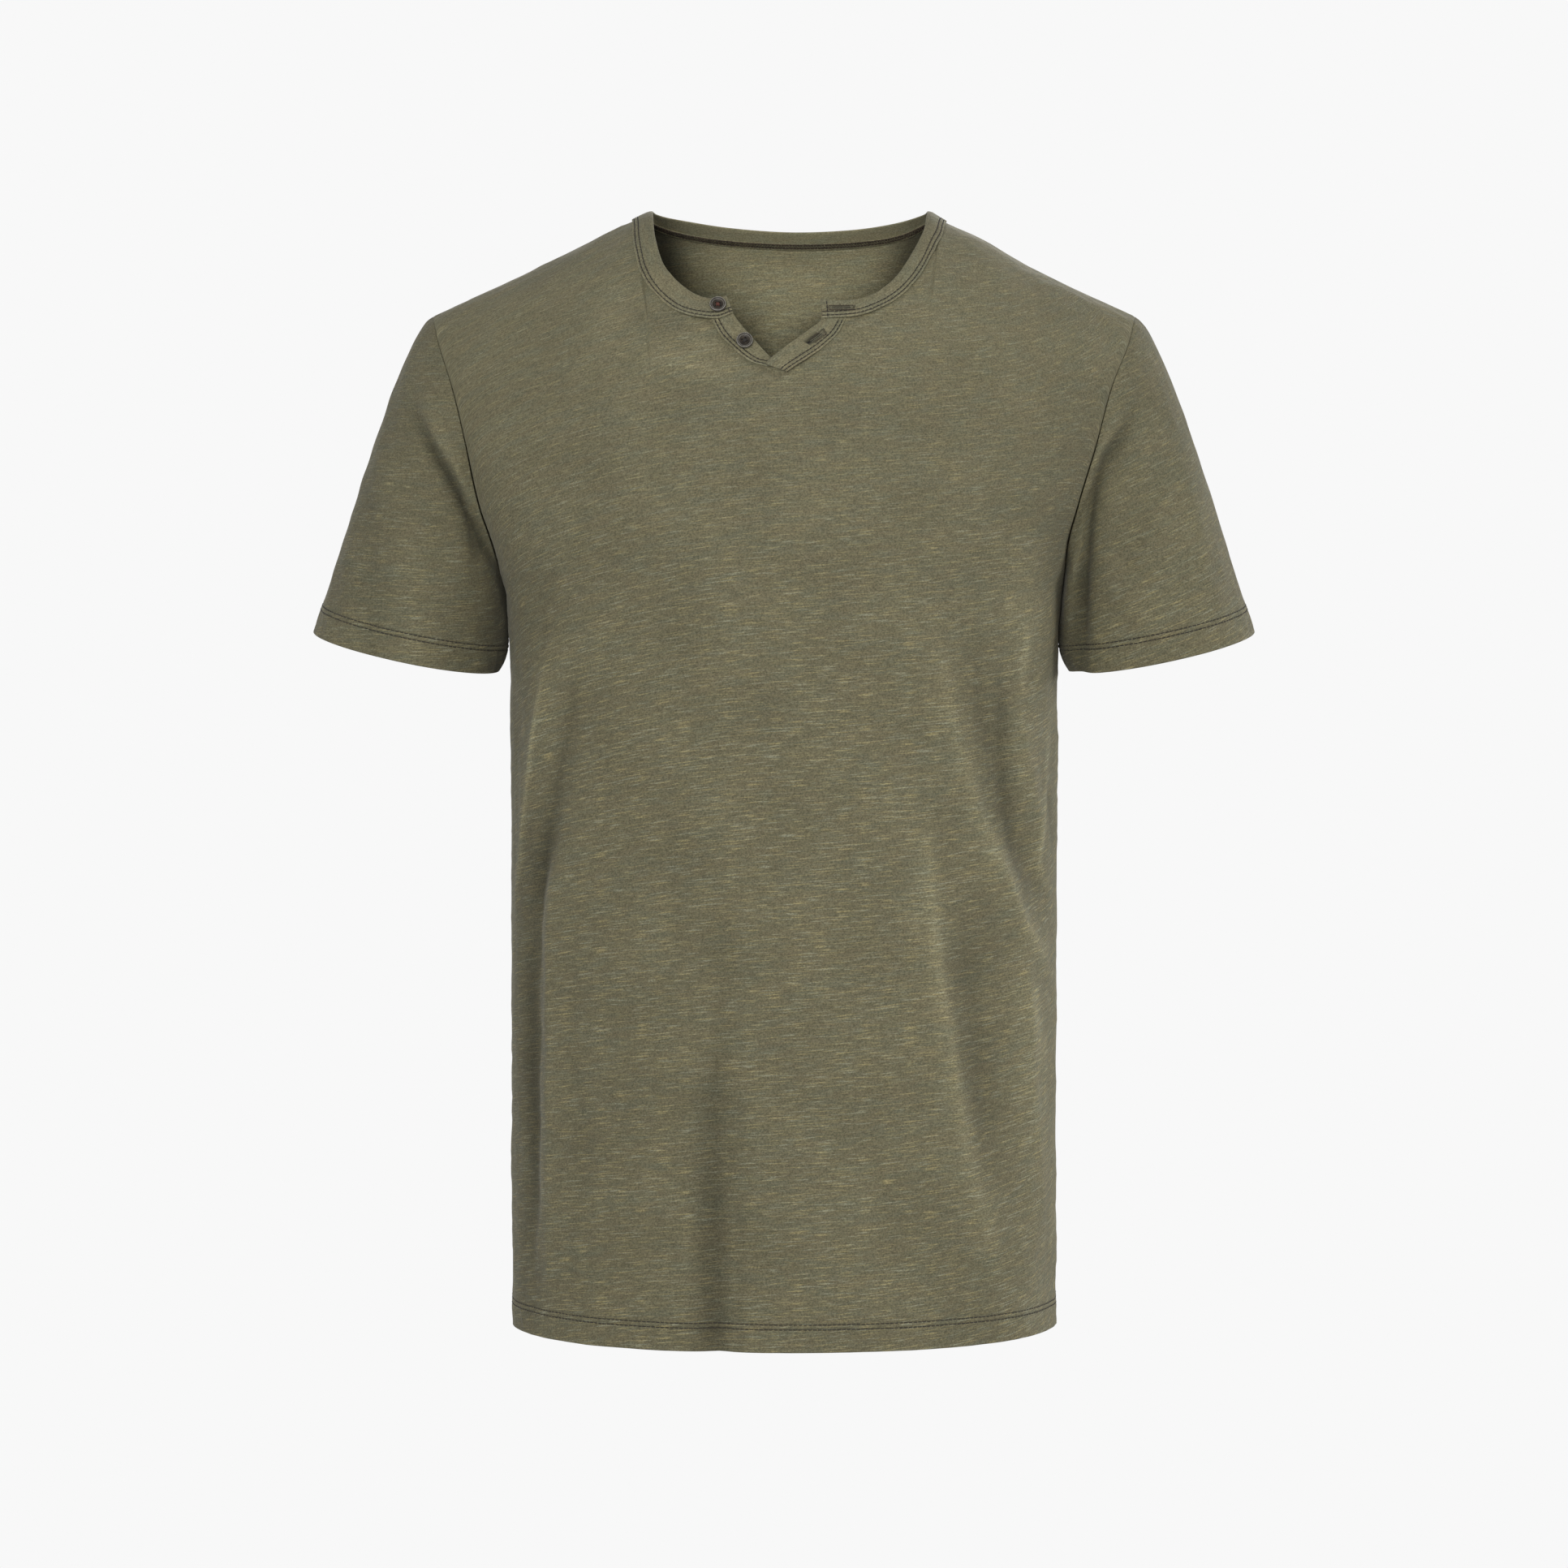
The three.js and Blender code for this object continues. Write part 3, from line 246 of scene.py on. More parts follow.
# Creases: fine folds of the cloth's face, too small for the solids, with the same columns
FRONT_CREASES = (
    # wearer's right side
    table(FOLD_COLUMNS, (-149, -249, 0, 2.2), (-149, -262, -0.4, 2.2), (-149, -280, -0.4, 2.2),
        (-149, -291, 0, 2.2)),
    table(
        FOLD_COLUMNS, (-149, -286, 0, 1.8), (-150, -303, 0.7, 1.8), (-152.5, -319, 0.9, 1.8),
        (-158, -354, 0.9, 1.8),
        (-163, -390, 0.9, 1.8), (-168, -423, 0.8, 1.8), (-171, -445, 0, 1.8),
    ),
    table(
        FOLD_COLUMNS, (-125, -274, 0, 5), (-132, -319, -0.7, 5), (-139, -349, -0.9, 5),
        (-147, -381, -0.9, 4.5),
        (-152, -406, -0.9, 4.5), (-156, -431, -0.5, 4.5), (-158, -450, 0, 4.5),
    ),
    table(FOLD_COLUMNS, (-161, -445, 0, 4), (-163, -500, -0.8, 4), (-162, -600, -0.5, 4),
        (-163, -680, 0, 4)),
    table(
        FOLD_COLUMNS, (-143, -401, 0, 3), (-149.4, -431, 0.5, 3), (-155.2, -465, 0.6, 2.6),
        (-157.2, -505, 0.6, 2.6),
        (-154.2, -574, 0.6, 2.6), (-153.6, -604, 0.6, 2.6), (-154.2, -634, 0.5, 2.6), (-158.3, -684, 0, 3),
    ),
    table(FOLD_COLUMNS, (-171, -547, 0, 2.2), (-167, -584, 0.4, 2.2), (-166.5, -604, 0.4, 2.2),
        (-172.5, -650, 0, 2.2)),
    # beside the trough that falls to the hem
    table(FOLD_COLUMNS, (-50, -560, 0, 7), (-49, -640, -0.6, 7), (-48, -725, -0.6, 7)),
    table(FOLD_COLUMNS, (-37, -560, 0, 3.2), (-34, -620, 0.5, 3.2), (-33, -725, 0.5, 3.2)),
    # wearer's left, from the breast down
    table(
        FOLD_COLUMNS, (104, -318, 0, 6), (112, -346, 0.3, 5), (124, -384, 0.5, 4), (132, -405, 0.8, 3),
        (140, -423, 0.9, 2.4), (150, -450, 0.9, 2.4), (162, -473, 0.7, 2.4), (168, -487, 0, 2.4),
    ),
    table(
        FOLD_COLUMNS, (140, -385, 0, 4), (142, -402, -0.6, 4), (149, -422, -0.6, 4), (158, -440, -0.4, 4),
        (166, -455, 0, 4),
    ),
    table(
        FOLD_COLUMNS, (134, -285, 0, 4.5), (136, -310, -0.8, 4.5), (139, -350, -0.9, 4.5),
        (141, -385, -0.7, 4.5),
        (146, -412, 0, 4.5),
    ),
    table(FOLD_COLUMNS, (149, -255, 0, 3), (149, -272, 0.6, 3), (147.5, -296, 0.6, 3), (149.5, -318, 0, 3)),
    table(
        FOLD_COLUMNS, (171.6, -312, 0, 2.2), (167, -330, 0.6, 2.2), (165, -360, 0.7, 2.2),
        (161.6, -381, 0.9, 2.2),
        (160.5, -403, 1, 2.2), (161.3, -417, 0.9, 2.2), (168.7, -431, 0.7, 2.2), (173.7, -441, 0, 2.2),
    ),
    table(
        FOLD_COLUMNS, (165, -352, 0, 1.8), (167.3, -379, -0.5, 1.8), (170, -397, -0.5, 1.8),
        (173.7, -413, 0, 1.8),
    ),
    table(
        FOLD_COLUMNS, (156, -478, 0, 4), (156, -505, 0.6, 4), (160, -530, 0.6, 4), (168, -560, 0, 4),
    ),
    table(FOLD_COLUMNS, (171.7, -610, 0, 2.4), (170.7, -640, 0.5, 2.4), (168.7, -670, 0, 2.4)),
    # crest of the long ridge from the waist to the hem
    table(
        FOLD_COLUMNS, (85, -365, 0, 4), (89, -406, 0.5, 4), (92, -451, 0.65, 4.5), (102, -515, 0.65, 5),
        (108, -555, 0.6, 5), (114, -594, 0.5, 5), (124, -634, 0.4, 5), (137, -680, 0, 5),
    ),
    # drag lines beside the opening
    table(FOLD_COLUMNS, (-78, -79, 0, 4), (-62, -84, 0.4, 3.6), (-46, -90, 0.4, 3.2), (-34, -96, 0, 3)),
    table(FOLD_COLUMNS, (-105, -70, 0, 9), (-84, -73, -0.45, 8), (-64, -79, -0.35, 6), (-50, -85, 0, 5)),
    table(FOLD_COLUMNS, (-96, -97, 0, 9), (-66, -101, 0.45, 8), (-40, -106, 0.4, 7), (-16, -111, 0, 6)),
    table(FOLD_COLUMNS, (44, -90, 0, 5), (34, -101, 0.3, 5), (20, -110, 0, 5)),
)
SLEEVE_CREASES = {
    WEARER_RIGHT: (
        table(
            FOLD_COLUMNS, (-236, -127, 0, 2.4), (-223, -149, -0.9, 2.4), (-212, -167, -1.1, 2.4),
            (-203, -183, -1.1, 2.4),
            (-194, -198, -1.1, 2.4), (-185, -219, -0.9, 2.6), (-180, -240, 0, 2.8),
        ),
        table(
            FOLD_COLUMNS, (-230, -126, 0, 3), (-217, -147, 0.6, 3), (-206, -165, 0.7, 3),
            (-197, -181, 0.6, 3),
            (-187, -200, 0, 3),
        ),
    ),
    WEARER_LEFT: (
        table(
            FOLD_COLUMNS, (217, -127, 0, 3), (205, -144, 0.7, 3), (197, -156, 0.8, 3),
            (188, -181, 0.8, 2.8),
            (184, -211, 0.7, 2.6), (180.5, -232, 0.6, 2.6), (179.4, -255, 0.5, 2.6), (179, -280, 0, 2.6),
        ),
        table(
            FOLD_COLUMNS, (222, -128, 0, 3.4), (209, -147, -0.7, 3.4), (198, -165, -0.9, 3.4),
            (192, -190, -0.9, 3.4),
            (189, -225, -0.8, 3.4), (187, -275, 0, 3.4),
        ),
    ),
}
FOLD_STEPS = 6
CREST_POWER = 0.72
CREST_ROUND = 0.01
CREST_REACH = 3.6
EDGE_FADE = 0.06
CREASE_FADE = 0.012
RIDGE_FADE = 0.12
SLEEVE_FADE = 0.1
SLEEVE_RIDGE_FADE = 0.3

# Cloth, as offsets from the solids' outer face
OUTER = -0.2  # outer face of the cloth
INNER = -1.0  # inner face
# Body hem: heights of its two rows of stitches, and its turned cloth
HEM = {"rows": (14.6, 17.6), "depth": 20}
CUFF_HEM = {"rows": (15.6, 18.6), "depth": 21}
STRIP_ROWS = (1.7, 4.2)  # rows of stitches on the strips, from the sewn edge
SEAM_ROLL = 0.28  # how far the cloth rolls in at a seam
SEAM_WIDTH = 1.3
STRIP_DROP = 0.3  # how much lower the strips lie than their solids
STRIP_TOP = 0.95  # height of a strip's flat outer face
STITCH_HEIGHT = 0.68  # height of the rows of stitches on a strip
# Where sleeve and side touch
PRESS = table("z bulge", (-292, 0), (-286, 1), (-250, 1), (-238, 0.4), (-225, 0))
PRESS_OUT = 0.55

# Camera: level with the upper chest, a little above the middle of the shirt
CAMERA_AIM_Z = -365.9
CAMERA_DISTANCE = 3000
CAMERA_ELEVATION = math.radians(3)
CAMERA_LENS = 107.7


def clamp(value, low=0.0, high=1.0):
    return np.clip(value, low, high)


def mix(a, b, share):
    return a + (b - a) * share


def ease(share):
    t = clamp(share)
    return t * t * (3 - 2 * t)


def bell(distance, width):
    return np.exp(-((distance / width) ** 2))


def unit(vectors):
    return vectors / np.maximum(np.linalg.norm(vectors, axis=-1, keepdims=True), 1e-12)


def hermite(u, a, slope_a, b, slope_b):
    return (
        (1 + 2 * u) * (1 - u) ** 2 * a + u * (1 - u) ** 2 * slope_a
        + u * u * (3 - 2 * u) * b + u * u * (u - 1) * slope_b
    )


def read(rows, key, at, column):
    """The value of a column where key is at, on a smooth curve through the rows that never overshoots."""
    keys, values = rows[key], rows[column]
    at = np.clip(at, keys[0], keys[-1])
    i = np.clip(np.searchsorted(keys, at) - 1, 0, len(keys) - 2)
    rise = np.diff(values) / np.diff(keys)
    before, after = rise[:-1], rise[1:]
    same = before * after > 0
    inner = np.where(same, 2 * before * after / np.where(same, before + after, 1), 0)
    slope = np.concatenate([rise[:1], inner, rise[-1:]])
    span = np.diff(keys)[i]
    return hermite((at - keys[i]) / span, values[i], span * slope[i], values[i + 1], span * slope[i + 1])


def along(rows, row, column):
    """A smooth curve through evenly counted rows, for a path: the value of a column at a row number."""
    values = rows[column]
    last = len(values) - 1
    i = np.clip(np.floor(row).astype(int), 0, last - 1)

    def at(n):
        return values[np.clip(n, 0, last)]

    before = (at(i + 1) - at(i - 1)) / np.where(i == 0, 1, 2)
    after = (at(i + 2) - at(i)) / np.where(i == last - 1, 1, 2)
    return hermite(row - i, at(i), before, at(i + 1), after)


def fold_path(rows):
    """A fold's path as a run of short pieces, with x, z, height and width in columns."""
    last = len(rows["x"]) - 1
    at = np.linspace(0, last, last * FOLD_STEPS + 1)
    return np.stack([along(rows, at, name) for name in FOLD_COLUMNS.split()], -1)


def crease(away):
    """Height of a fold at a distance from its crest, with both in half widths: rounded, but quick to fall."""
    return np.exp(CREST_ROUND ** CREST_POWER - (away ** 2 + CREST_ROUND) ** CREST_POWER)


def lifted(paths, x, z):
    """How far all the folds together lift the cloth at x, z."""
    total = np.zeros(np.shape(x))
    for path in paths:
        reach = CREST_REACH * path[:, 3].max()
        near = (x > path[:, 0].min() - reach) & (x < path[:, 0].max() + reach)
        near &= (z > path[:, 1].min() - reach) & (z < path[:, 1].max() + reach)
        if not near.any():
            continue
        nx, nz = x[near], z[near]
        best = np.full(nx.shape, np.inf)
        height = np.zeros(nx.shape)
        for a, b in zip(path[:-1], path[1:]):
            dx, dz = b[0] - a[0], b[1] - a[1]
            share = clamp(((nx - a[0]) * dx + (nz - a[1]) * dz) / (dx * dx + dz * dz))
            away = np.hypot(nx - a[0] - share * dx, nz - a[1] - share * dz) / mix(a[3], b[3], share)
            nearer = away < best
            best = np.where(nearer, away, best)
            height = np.where(nearer, mix(a[2], b[2], share), height)
        total[near] += height * crease(best)
    return total


def mirrored(rows):
    return {**rows, "x": -rows["x"]}


PATHS = {FRONT: [fold_path(rows) for rows in FRONT_FOLDS], BACK: [fold_path(rows) for rows in BACK_FOLDS]}
CREASES = {FRONT: [fold_path(rows) for rows in FRONT_CREASES], BACK: []}


def section(share, wrap):
    """Depth of a level section at a share of its half width, as a share of its full depth."""
    def reach(value):
        return (1 - np.minimum(1, np.abs(value)) ** ROUNDNESS) ** (1 / ROUNDNESS)

    return (reach(share * wrap) - reach(wrap)) / (1 - reach(wrap))


def by_side(side, front, back):
    return np.where(np.asarray(side) < 0, front, back)


def rise_of(side, tilt):
    return np.maximum(np.cos(tilt), 0) ** (2 / by_side(side, FRONT_ARCH, BACK_ARCH))


def half_at(rise, x):
    return np.where(x < 0, read(ABOVE, "rise", rise, "right"), read(ABOVE, "rise", rise, "left"))


def above(side, x, tilt):
    """The torso above the armpits. tilt is 0 at the ridge and a quarter turn at the armpits' level."""
    rise = rise_of(side, tilt)
    arch = by_side(side, FRONT_ARCH, BACK_ARCH)
    full = by_side(side, BELOW["front"][-1], BELOW["back"][-1]) * np.sin(tilt) ** (2 / arch)
    share = np.clip(x / half_at(rise, x), -1, 1)
    arm = by_side(side, read(ABOVE, "rise", rise, "arm_front"), read(ABOVE, "rise", rise, "arm_back"))
    depth = arm + (full - arm) * section(share, read(ABOVE, "rise", rise, "wrap"))
    return np.stack([x, side * depth, mix(ARM_Z, read(RIDGE, "x", x, "z"), rise)], -1)


def below(side, share, z):
    """The torso below the armpits."""
    depth = read(BELOW, "z", z, "front" if side == FRONT else "back") * section(share, 1.0)
    return np.stack([share * read(BELOW, "z", z, "half"), side * depth, z + 0 * share], -1)


def panel_point(side, share, level):
    """share runs from the wearer's right to left, level from -1 (hem) by 0 (armpit) to 1 (ridge)."""
    share, level = np.broadcast_arrays(np.clip(share, -1, 1), np.clip(level, -1, 1))
    low = below(side, share, mix(HEM_Z, ARM_Z, np.minimum(level, 0) + 1))
    tilt = QUARTER * (1 - np.maximum(level, 0))
    high = above(side, share * half_at(rise_of(side, tilt), share), tilt)
    return np.where((level <= 0)[..., None], low, high)


def torso_core(points):
    core = np.zeros(points.shape)
    core[..., 2] = np.minimum(points[..., 2], ARM_Z)
    return core


def facing(surface, u, v, core, step=1e-3):
    """Direction in which a surface faces at u, v, away from points inside it."""
    across = surface(u + step, v) - surface(u - step, v)
    upward = surface(u, v + step) - surface(u, v - step)
    normal = unit(np.cross(across, upward))
    outward = np.sum(normal * (surface(u, v) - core), -1, keepdims=True)
    return np.where(outward < 0, -normal, normal)


def tilt_at(side, x, z):
    """Tilt of the torso that shows at x, z, seen level: negative on the front, positive on the back."""
    rise = clamp((z - ARM_Z) / (read(RIDGE, "x", x, "z") - ARM_Z))
    return side * np.arccos(rise ** (by_side(side, FRONT_ARCH, BACK_ARCH) / 2))


def torso_plain(x, tilt):
    return above(np.where(tilt < 0, FRONT, BACK), x, np.abs(tilt))


def torso_cloth(x, tilt):
    """The torso's cloth at x and a signed tilt, for what lies on it."""
    x, tilt = np.broadcast_arrays(x, tilt)
    point = torso_plain(x, tilt)
    lift = np.where(
        tilt < 0,
        lifted(PATHS[FRONT], point[..., 0], point[..., 2]),
        lifted(PATHS[BACK], point[..., 0], point[..., 2]),
    )
    height = ease(np.abs(tilt) / RIDGE_FADE) * lift
    return point + facing(torso_plain, x, tilt, torso_core(point)) * height[..., None]


def on_front(x, z, height=0.0):
    """Points of the front's cloth seen at x, z, raised by a height, and the directions in which they face."""
    tilt = tilt_at(FRONT, x, z)
    point = torso_cloth(x, tilt)
    normal = facing(torso_cloth, x, tilt, torso_core(point))
    return point + normal * np.asarray(height)[..., None], normal


def strip_rows(rows):
    """A strip's rows, with the height of each edge turned into a tilt."""
    return {
        "sewn_x": rows["sewn_x"],
        "sewn_tilt": tilt_at(rows["side"], rows["sewn_x"], rows["sewn_z"]),
        "free_x": rows["free_x"],
        "free_tilt": tilt_at(rows["side"], rows["free_x"], rows["free_z"]),
        "lift": rows["lift"] - STRIP_DROP,
    }


def strip_point(rows, row, share, height):
    """A point of a strip at a row number, share of its width from the sewn edge and height; and its facing."""
    def surface(r, s):
        return torso_cloth(
            mix(along(rows, r, "sewn_x"), along(rows, r, "free_x"), s),
            mix(along(rows, r, "sewn_tilt"), along(rows, r, "free_tilt"), s),
        )

    row, share, height = np.broadcast_arrays(row, share, height)
    point = surface(row, share)
    normal = facing(surface, row, share, torso_core(point))
    return point + normal * (along(rows, row, "lift") + height)[..., None], normal


STRIPS = {
    "neckband": strip_rows(NECKBAND),
    "placket_button": strip_rows(BUTTON_PLACKET),
    "placket_buttonhole": strip_rows(BUTTONHOLE_PLACKET),
}


def hole_edge(name, start, end, steps=6):
    """The line under a strip, as seen from the front, at which the panel ends."""
    at = np.linspace(start, end, abs(end - start) * steps + 1)
    return strip_point(STRIPS[name], at, UNDERLAP, 0.0)[0][:, (0, 2)]


FRONT_EDGE = np.concatenate([
    hole_edge("neckband", RIGHT_RIDGE, BAND_ON_PLACKET),
    hole_edge("placket_button", 1, len(BUTTON_PLACKET["lift"]) - 1),
    hole_edge("placket_buttonhole", len(BUTTONHOLE_PLACKET["lift"]) - 1, 1),
    hole_edge("neckband", len(NECKBAND["lift"]) - 1 - BAND_ON_PLACKET, LEFT_RIDGE),
])
BACK_EDGE = hole_edge("neckband", RIGHT_RIDGE, LEFT_RIDGE)
HOLE = {FRONT: FRONT_EDGE, BACK: BACK_EDGE}


def distance_to(line, x, z):
    """Distance from x, z to a line of points."""
    best = np.full(np.shape(x), np.inf)
    for a, b in zip(line[:-1], line[1:]):
        dx, dz = b - a
        share = clamp(((x - a[0]) * dx + (z - a[1]) * dz) / max(dx * dx + dz * dz, 1e-9))
        best = np.minimum(best, np.hypot(x - a[0] - share * dx, z - a[1] - share * dz))
    return best


def ripple(u, v, seed, wavelength, count=9):
    """Gentle unevenness of about unit height, from waves in seeded directions."""
    rng = np.random.default_rng(seed)
    total = 0
    for _ in range(count):
        angle, phase = rng.uniform(0, 2 * math.pi, 2)
        length = wavelength * rng.uniform(0.7, 1.6)
        total = total + np.sin(2 * math.pi * (u * math.cos(angle) + v * math.sin(angle)) / length + phase)
    return total / math.sqrt(count / 2)


def stops(*spans):
    """Numbers from the first span's start to the last one's end, each span (start, end, step)."""
    parts = [np.linspace(a, b, max(1, round((b - a) / step)) + 1)[:-1] for a, b, step in spans]
    return np.concatenate([*parts, [spans[-1][1]]])


def grid_normals(points, core, round_it=False):
    """Directions in which a grid of points faces, away from points inside it."""
    if round_it:
        across = np.roll(points, -1, axis=1) - np.roll(points, 1, axis=1)
    else:
        across = np.gradient(points, axis=1)
    normal = unit(np.cross(across, np.gradient(points, axis=0)))
    outward = np.sum(normal * (points - core), -1, keepdims=True)
    return np.where(outward < 0, -normal, normal)


def quads(index):
    return np.stack([index[:-1, :-1], index[:-1, 1:], index[1:, 1:], index[1:, :-1]], -1).reshape(-1, 4)


def shell_faces(rows, columns, round_it):
    """Faces of a closed shell between an outer grid of points and an inner one."""
    count = rows * columns
    outer = np.arange(count).reshape(rows, columns)
    if round_it:
        outer = np.concatenate([outer, outer[:, :1]], axis=1)
    inner = outer + count
    faces = [
        quads(outer),
        quads(inner)[:, ::-1],
        quads(np.stack([inner[0], outer[0]])),
        quads(np.stack([outer[-1], inner[-1]])),
    ]
    if not round_it:
        faces.append(quads(np.stack([inner[:, 0], outer[:, 0]], axis=1)))
        faces.append(quads(np.stack([outer[:, -1], inner[:, -1]], axis=1)))
    return np.concatenate(faces)


def make_piece(name, points, faces, material, cloth=None, tone=None):
    """A smooth mesh from points in millimetres, with the places and tones that its material reads."""
    mesh = bpy.data.meshes.new(name)
    mesh.from_pydata((np.asarray(points).reshape(-1, 3) * MM).tolist(), [], [list(face) for face in faces])
    if cloth is not None:
        place = mesh.attributes.new("cloth", "FLOAT_VECTOR", "POINT")
        place.data.foreach_set("vector", (np.asarray(cloth).reshape(-1, 3) * MM).ravel())
    if tone is not None:
        mesh.attributes.new("tone", "FLOAT", "POINT").data.foreach_set("value", np.asarray(tone).ravel())
    mesh.polygons.foreach_set("use_smooth", [True] * len(mesh.polygons))
    mesh.materials.append(material)
    mesh.update()
    piece = bpy.data.objects.new(name, mesh)
    bpy.context.scene.collection.objects.link(piece)
    turn_outward(mesh)
    return piece


def turn_outward(mesh):
    """Turns a closed mesh's faces round if they point in."""
    mesh.calc_loop_triangles()
    co = np.zeros(len(mesh.vertices) * 3)
    mesh.vertices.foreach_get("co", co)
    corner = np.zeros(len(mesh.loop_triangles) * 3, int)
    mesh.loop_triangles.foreach_get("vertices", corner)
    a, b, c = co.reshape(-1, 3)[corner.reshape(-1, 3)].transpose(1, 0, 2)
    if np.sum(a * np.cross(b, c)) < 0:
        mesh.flip_normals()


def ride(piece):
    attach(piece, "root")
    return piece


# Materials


def add(tree, kind, inputs=None, **settings):
    """A shader node with its settings, its inputs set to values or linked to other nodes' outputs."""
    node = tree.nodes.new("ShaderNode" + kind)
    for name, value in settings.items():
        setattr(node, name, value)
    for name, value in (inputs or {}).items():
        if isinstance(value, bpy.types.NodeSocket):
            tree.links.new(value, node.inputs[name])
        else:
            node.inputs[name].default_value = value
    return node


def new_material(name):
    material = bpy.data.materials.new(name)
    material.use_nodes = True
    return material, material.node_tree, material.node_tree.nodes["Principled BSDF"]


def math_of(tree, operation, a, b):
    return add(tree, "Math", {0: a, 1: b}, operation=operation).outputs[0]


def ranged(tree, value, low, high, to_low=0.0, to_high=1.0):
    inputs = {"Value": value, "From Min": low, "From Max": high, "To Min": to_low, "To Max": to_high}
    return add(tree, "MapRange", inputs, interpolation_type="SMOOTHSTEP").outputs["Result"]


def blended(tree, factor, a, b, blend_type="MIX"):
    node = add(tree, "Mix", {"Factor": factor}, data_type="RGBA", blend_type=blend_type)
    for socket, value in ((node.inputs[6], a), (node.inputs[7], b)):
        if isinstance(value, bpy.types.NodeSocket):
            tree.links.new(value, socket)
        else:
            socket.default_value = (*value, 1)
    return node.outputs[2]


def noise_at(tree, place, sizes, offset=0.0, detail=2.0, roughness=0.5):
    """Noise whose patches have the given sizes in metres along the cloth, from 0 to 1."""
    scaled = add(tree, "VectorMath", {0: place, 1: tuple(1 / size for size in sizes)}, operation="MULTIPLY")
    moved = add(tree, "VectorMath", {0: scaled.outputs[0], 1: (offset, offset, offset)}, operation="ADD")
    inputs = {"Vector": moved.outputs[0], "Scale": 1.0, "Detail": detail, "Roughness": roughness}
    return add(tree, "TexNoise", inputs).outputs["Fac"]


OLIVE = (0.150, 0.138, 0.082)
BROWN = (0.168, 0.144, 0.086)
GREEN_GREY = (0.134, 0.140, 0.095)
YELLOW_SLUB = (0.36, 0.305, 0.145)
GREY_SLUB = (0.33, 0.335, 0.235)
DARK = (0.085, 0.08, 0.046)


def jersey(name, slub_share):
    """Washed slub jersey: mottled olive, with paler streaks along the courses of the knit."""
    material, tree, shader = new_material(name)
    place = add(tree, "Attribute", attribute_name="cloth").outputs["Vector"]
    tone = add(tree, "Attribute", attribute_name="tone").outputs["Fac"]
    warm = ranged(tree, noise_at(tree, place, (0.030, 0.008, 0.03), 3.1, 3.0, 0.7), 0.38, 0.62, 0.0, 0.45)
    cool = ranged(tree, noise_at(tree, place, (0.026, 0.006, 0.02), 11.7, 3.0, 0.7), 0.45, 0.65, 0.0, 0.42)
    colour = blended(tree, cool, blended(tree, warm, OLIVE, BROWN), GREEN_GREY)

    fuzz = noise_at(tree, place, (0.0011, 0.0009, 0.001), 5.3, 2.0, 0.8)
    height = add(tree, "SeparateXYZ", {0: add(tree, "NewGeometry").outputs["Position"]}).outputs["Z"]
    crowd = ranged(tree, height, -0.34, -0.10, slub_share, 0.55 * slub_share)

    def streaks(size, offset, low, high, share):
        lines = ranged(tree, noise_at(tree, place, size, offset, 0.0), low, high)
        return math_of(tree, "MULTIPLY", math_of(tree, "MULTIPLY", lines, crowd), share)

    yellow = streaks((0.014, 0.0008, 0.01), 7.9, 0.60, 0.80, 0.75)
    grey = streaks((0.012, 0.0008, 0.01), 1.3, 0.61, 0.82, 0.65)
    fine = streaks((0.008, 0.0007, 0.01), 29.3, 0.60, 0.86, 0.45)
    dark = streaks((0.012, 0.0009, 0.01), 17.1, 0.58, 0.82, 0.35)
    colour = blended(tree, dark, colour, DARK)
    colour = blended(tree, grey, colour, GREY_SLUB)
    colour = blended(tree, fine, colour, YELLOW_SLUB)
    colour = blended(tree, yellow, colour, YELLOW_SLUB)

    # The tone attribute brings the pieces' painted light and shade, with wear and random variation, into the
    # colour here.
    grain = ranged(tree, fuzz, 0.25, 0.75, 0.6, 1.4)
    shade = math_of(tree, "MULTIPLY", grain, tone)
    grey = add(tree, "CombineColor", {0: shade, 1: shade, 2: shade}).outputs[0]
    colour = blended(tree, 1.0, colour, grey, "MULTIPLY")
    tree.links.new(colour, shader.inputs["Base Color"])

    raised = math_of(tree, "ADD", yellow, fuzz)
    bump = add(tree, "Bump", {"Height": raised, "Strength": 0.35, "Distance": 0.0004})
    tree.links.new(bump.outputs[0], shader.inputs["Normal"])
    shader.inputs["Roughness"].default_value = 0.92
    shader.inputs["Specular IOR Level"].default_value = 0.15
    shader.inputs["Sheen Weight"].default_value = 0.12
    shader.inputs["Sheen Roughness"].default_value = 0.5
    shader.inputs["Sheen Tint"].default_value = (0.9, 0.88, 0.78, 1)
    return material


def thread_material(name, colour):
    """Twisted sewing thread."""
    material, tree, shader = new_material(name)
    place = add(tree, "NewGeometry").outputs["Position"]
    twist = noise_at(tree, place, (0.0006, 0.0006, 0.0006), 2.0, 2.0)
    worn = noise_at(tree, place, (0.02, 0.02, 0.02), 9.0, 2.0)
    dark = tuple(0.6 * c for c in colour)
    pale = tuple(min(1, 1.9 * c) for c in colour)
    fresh = blended(tree, ranged(tree, twist, 0.35, 0.65), dark, colour)
    tree.links.new(
        blended(tree, ranged(tree, worn, 0.5, 0.8, 0.0, 0.6), fresh, pale), shader.inputs["Base Color"]
    )
    bump = add(tree, "Bump", {"Height": twist, "Strength": 0.4, "Distance": 0.0002})
    tree.links.new(bump.outputs[0], shader.inputs["Normal"])
    shader.inputs["Roughness"].default_value = 0.8
    return material


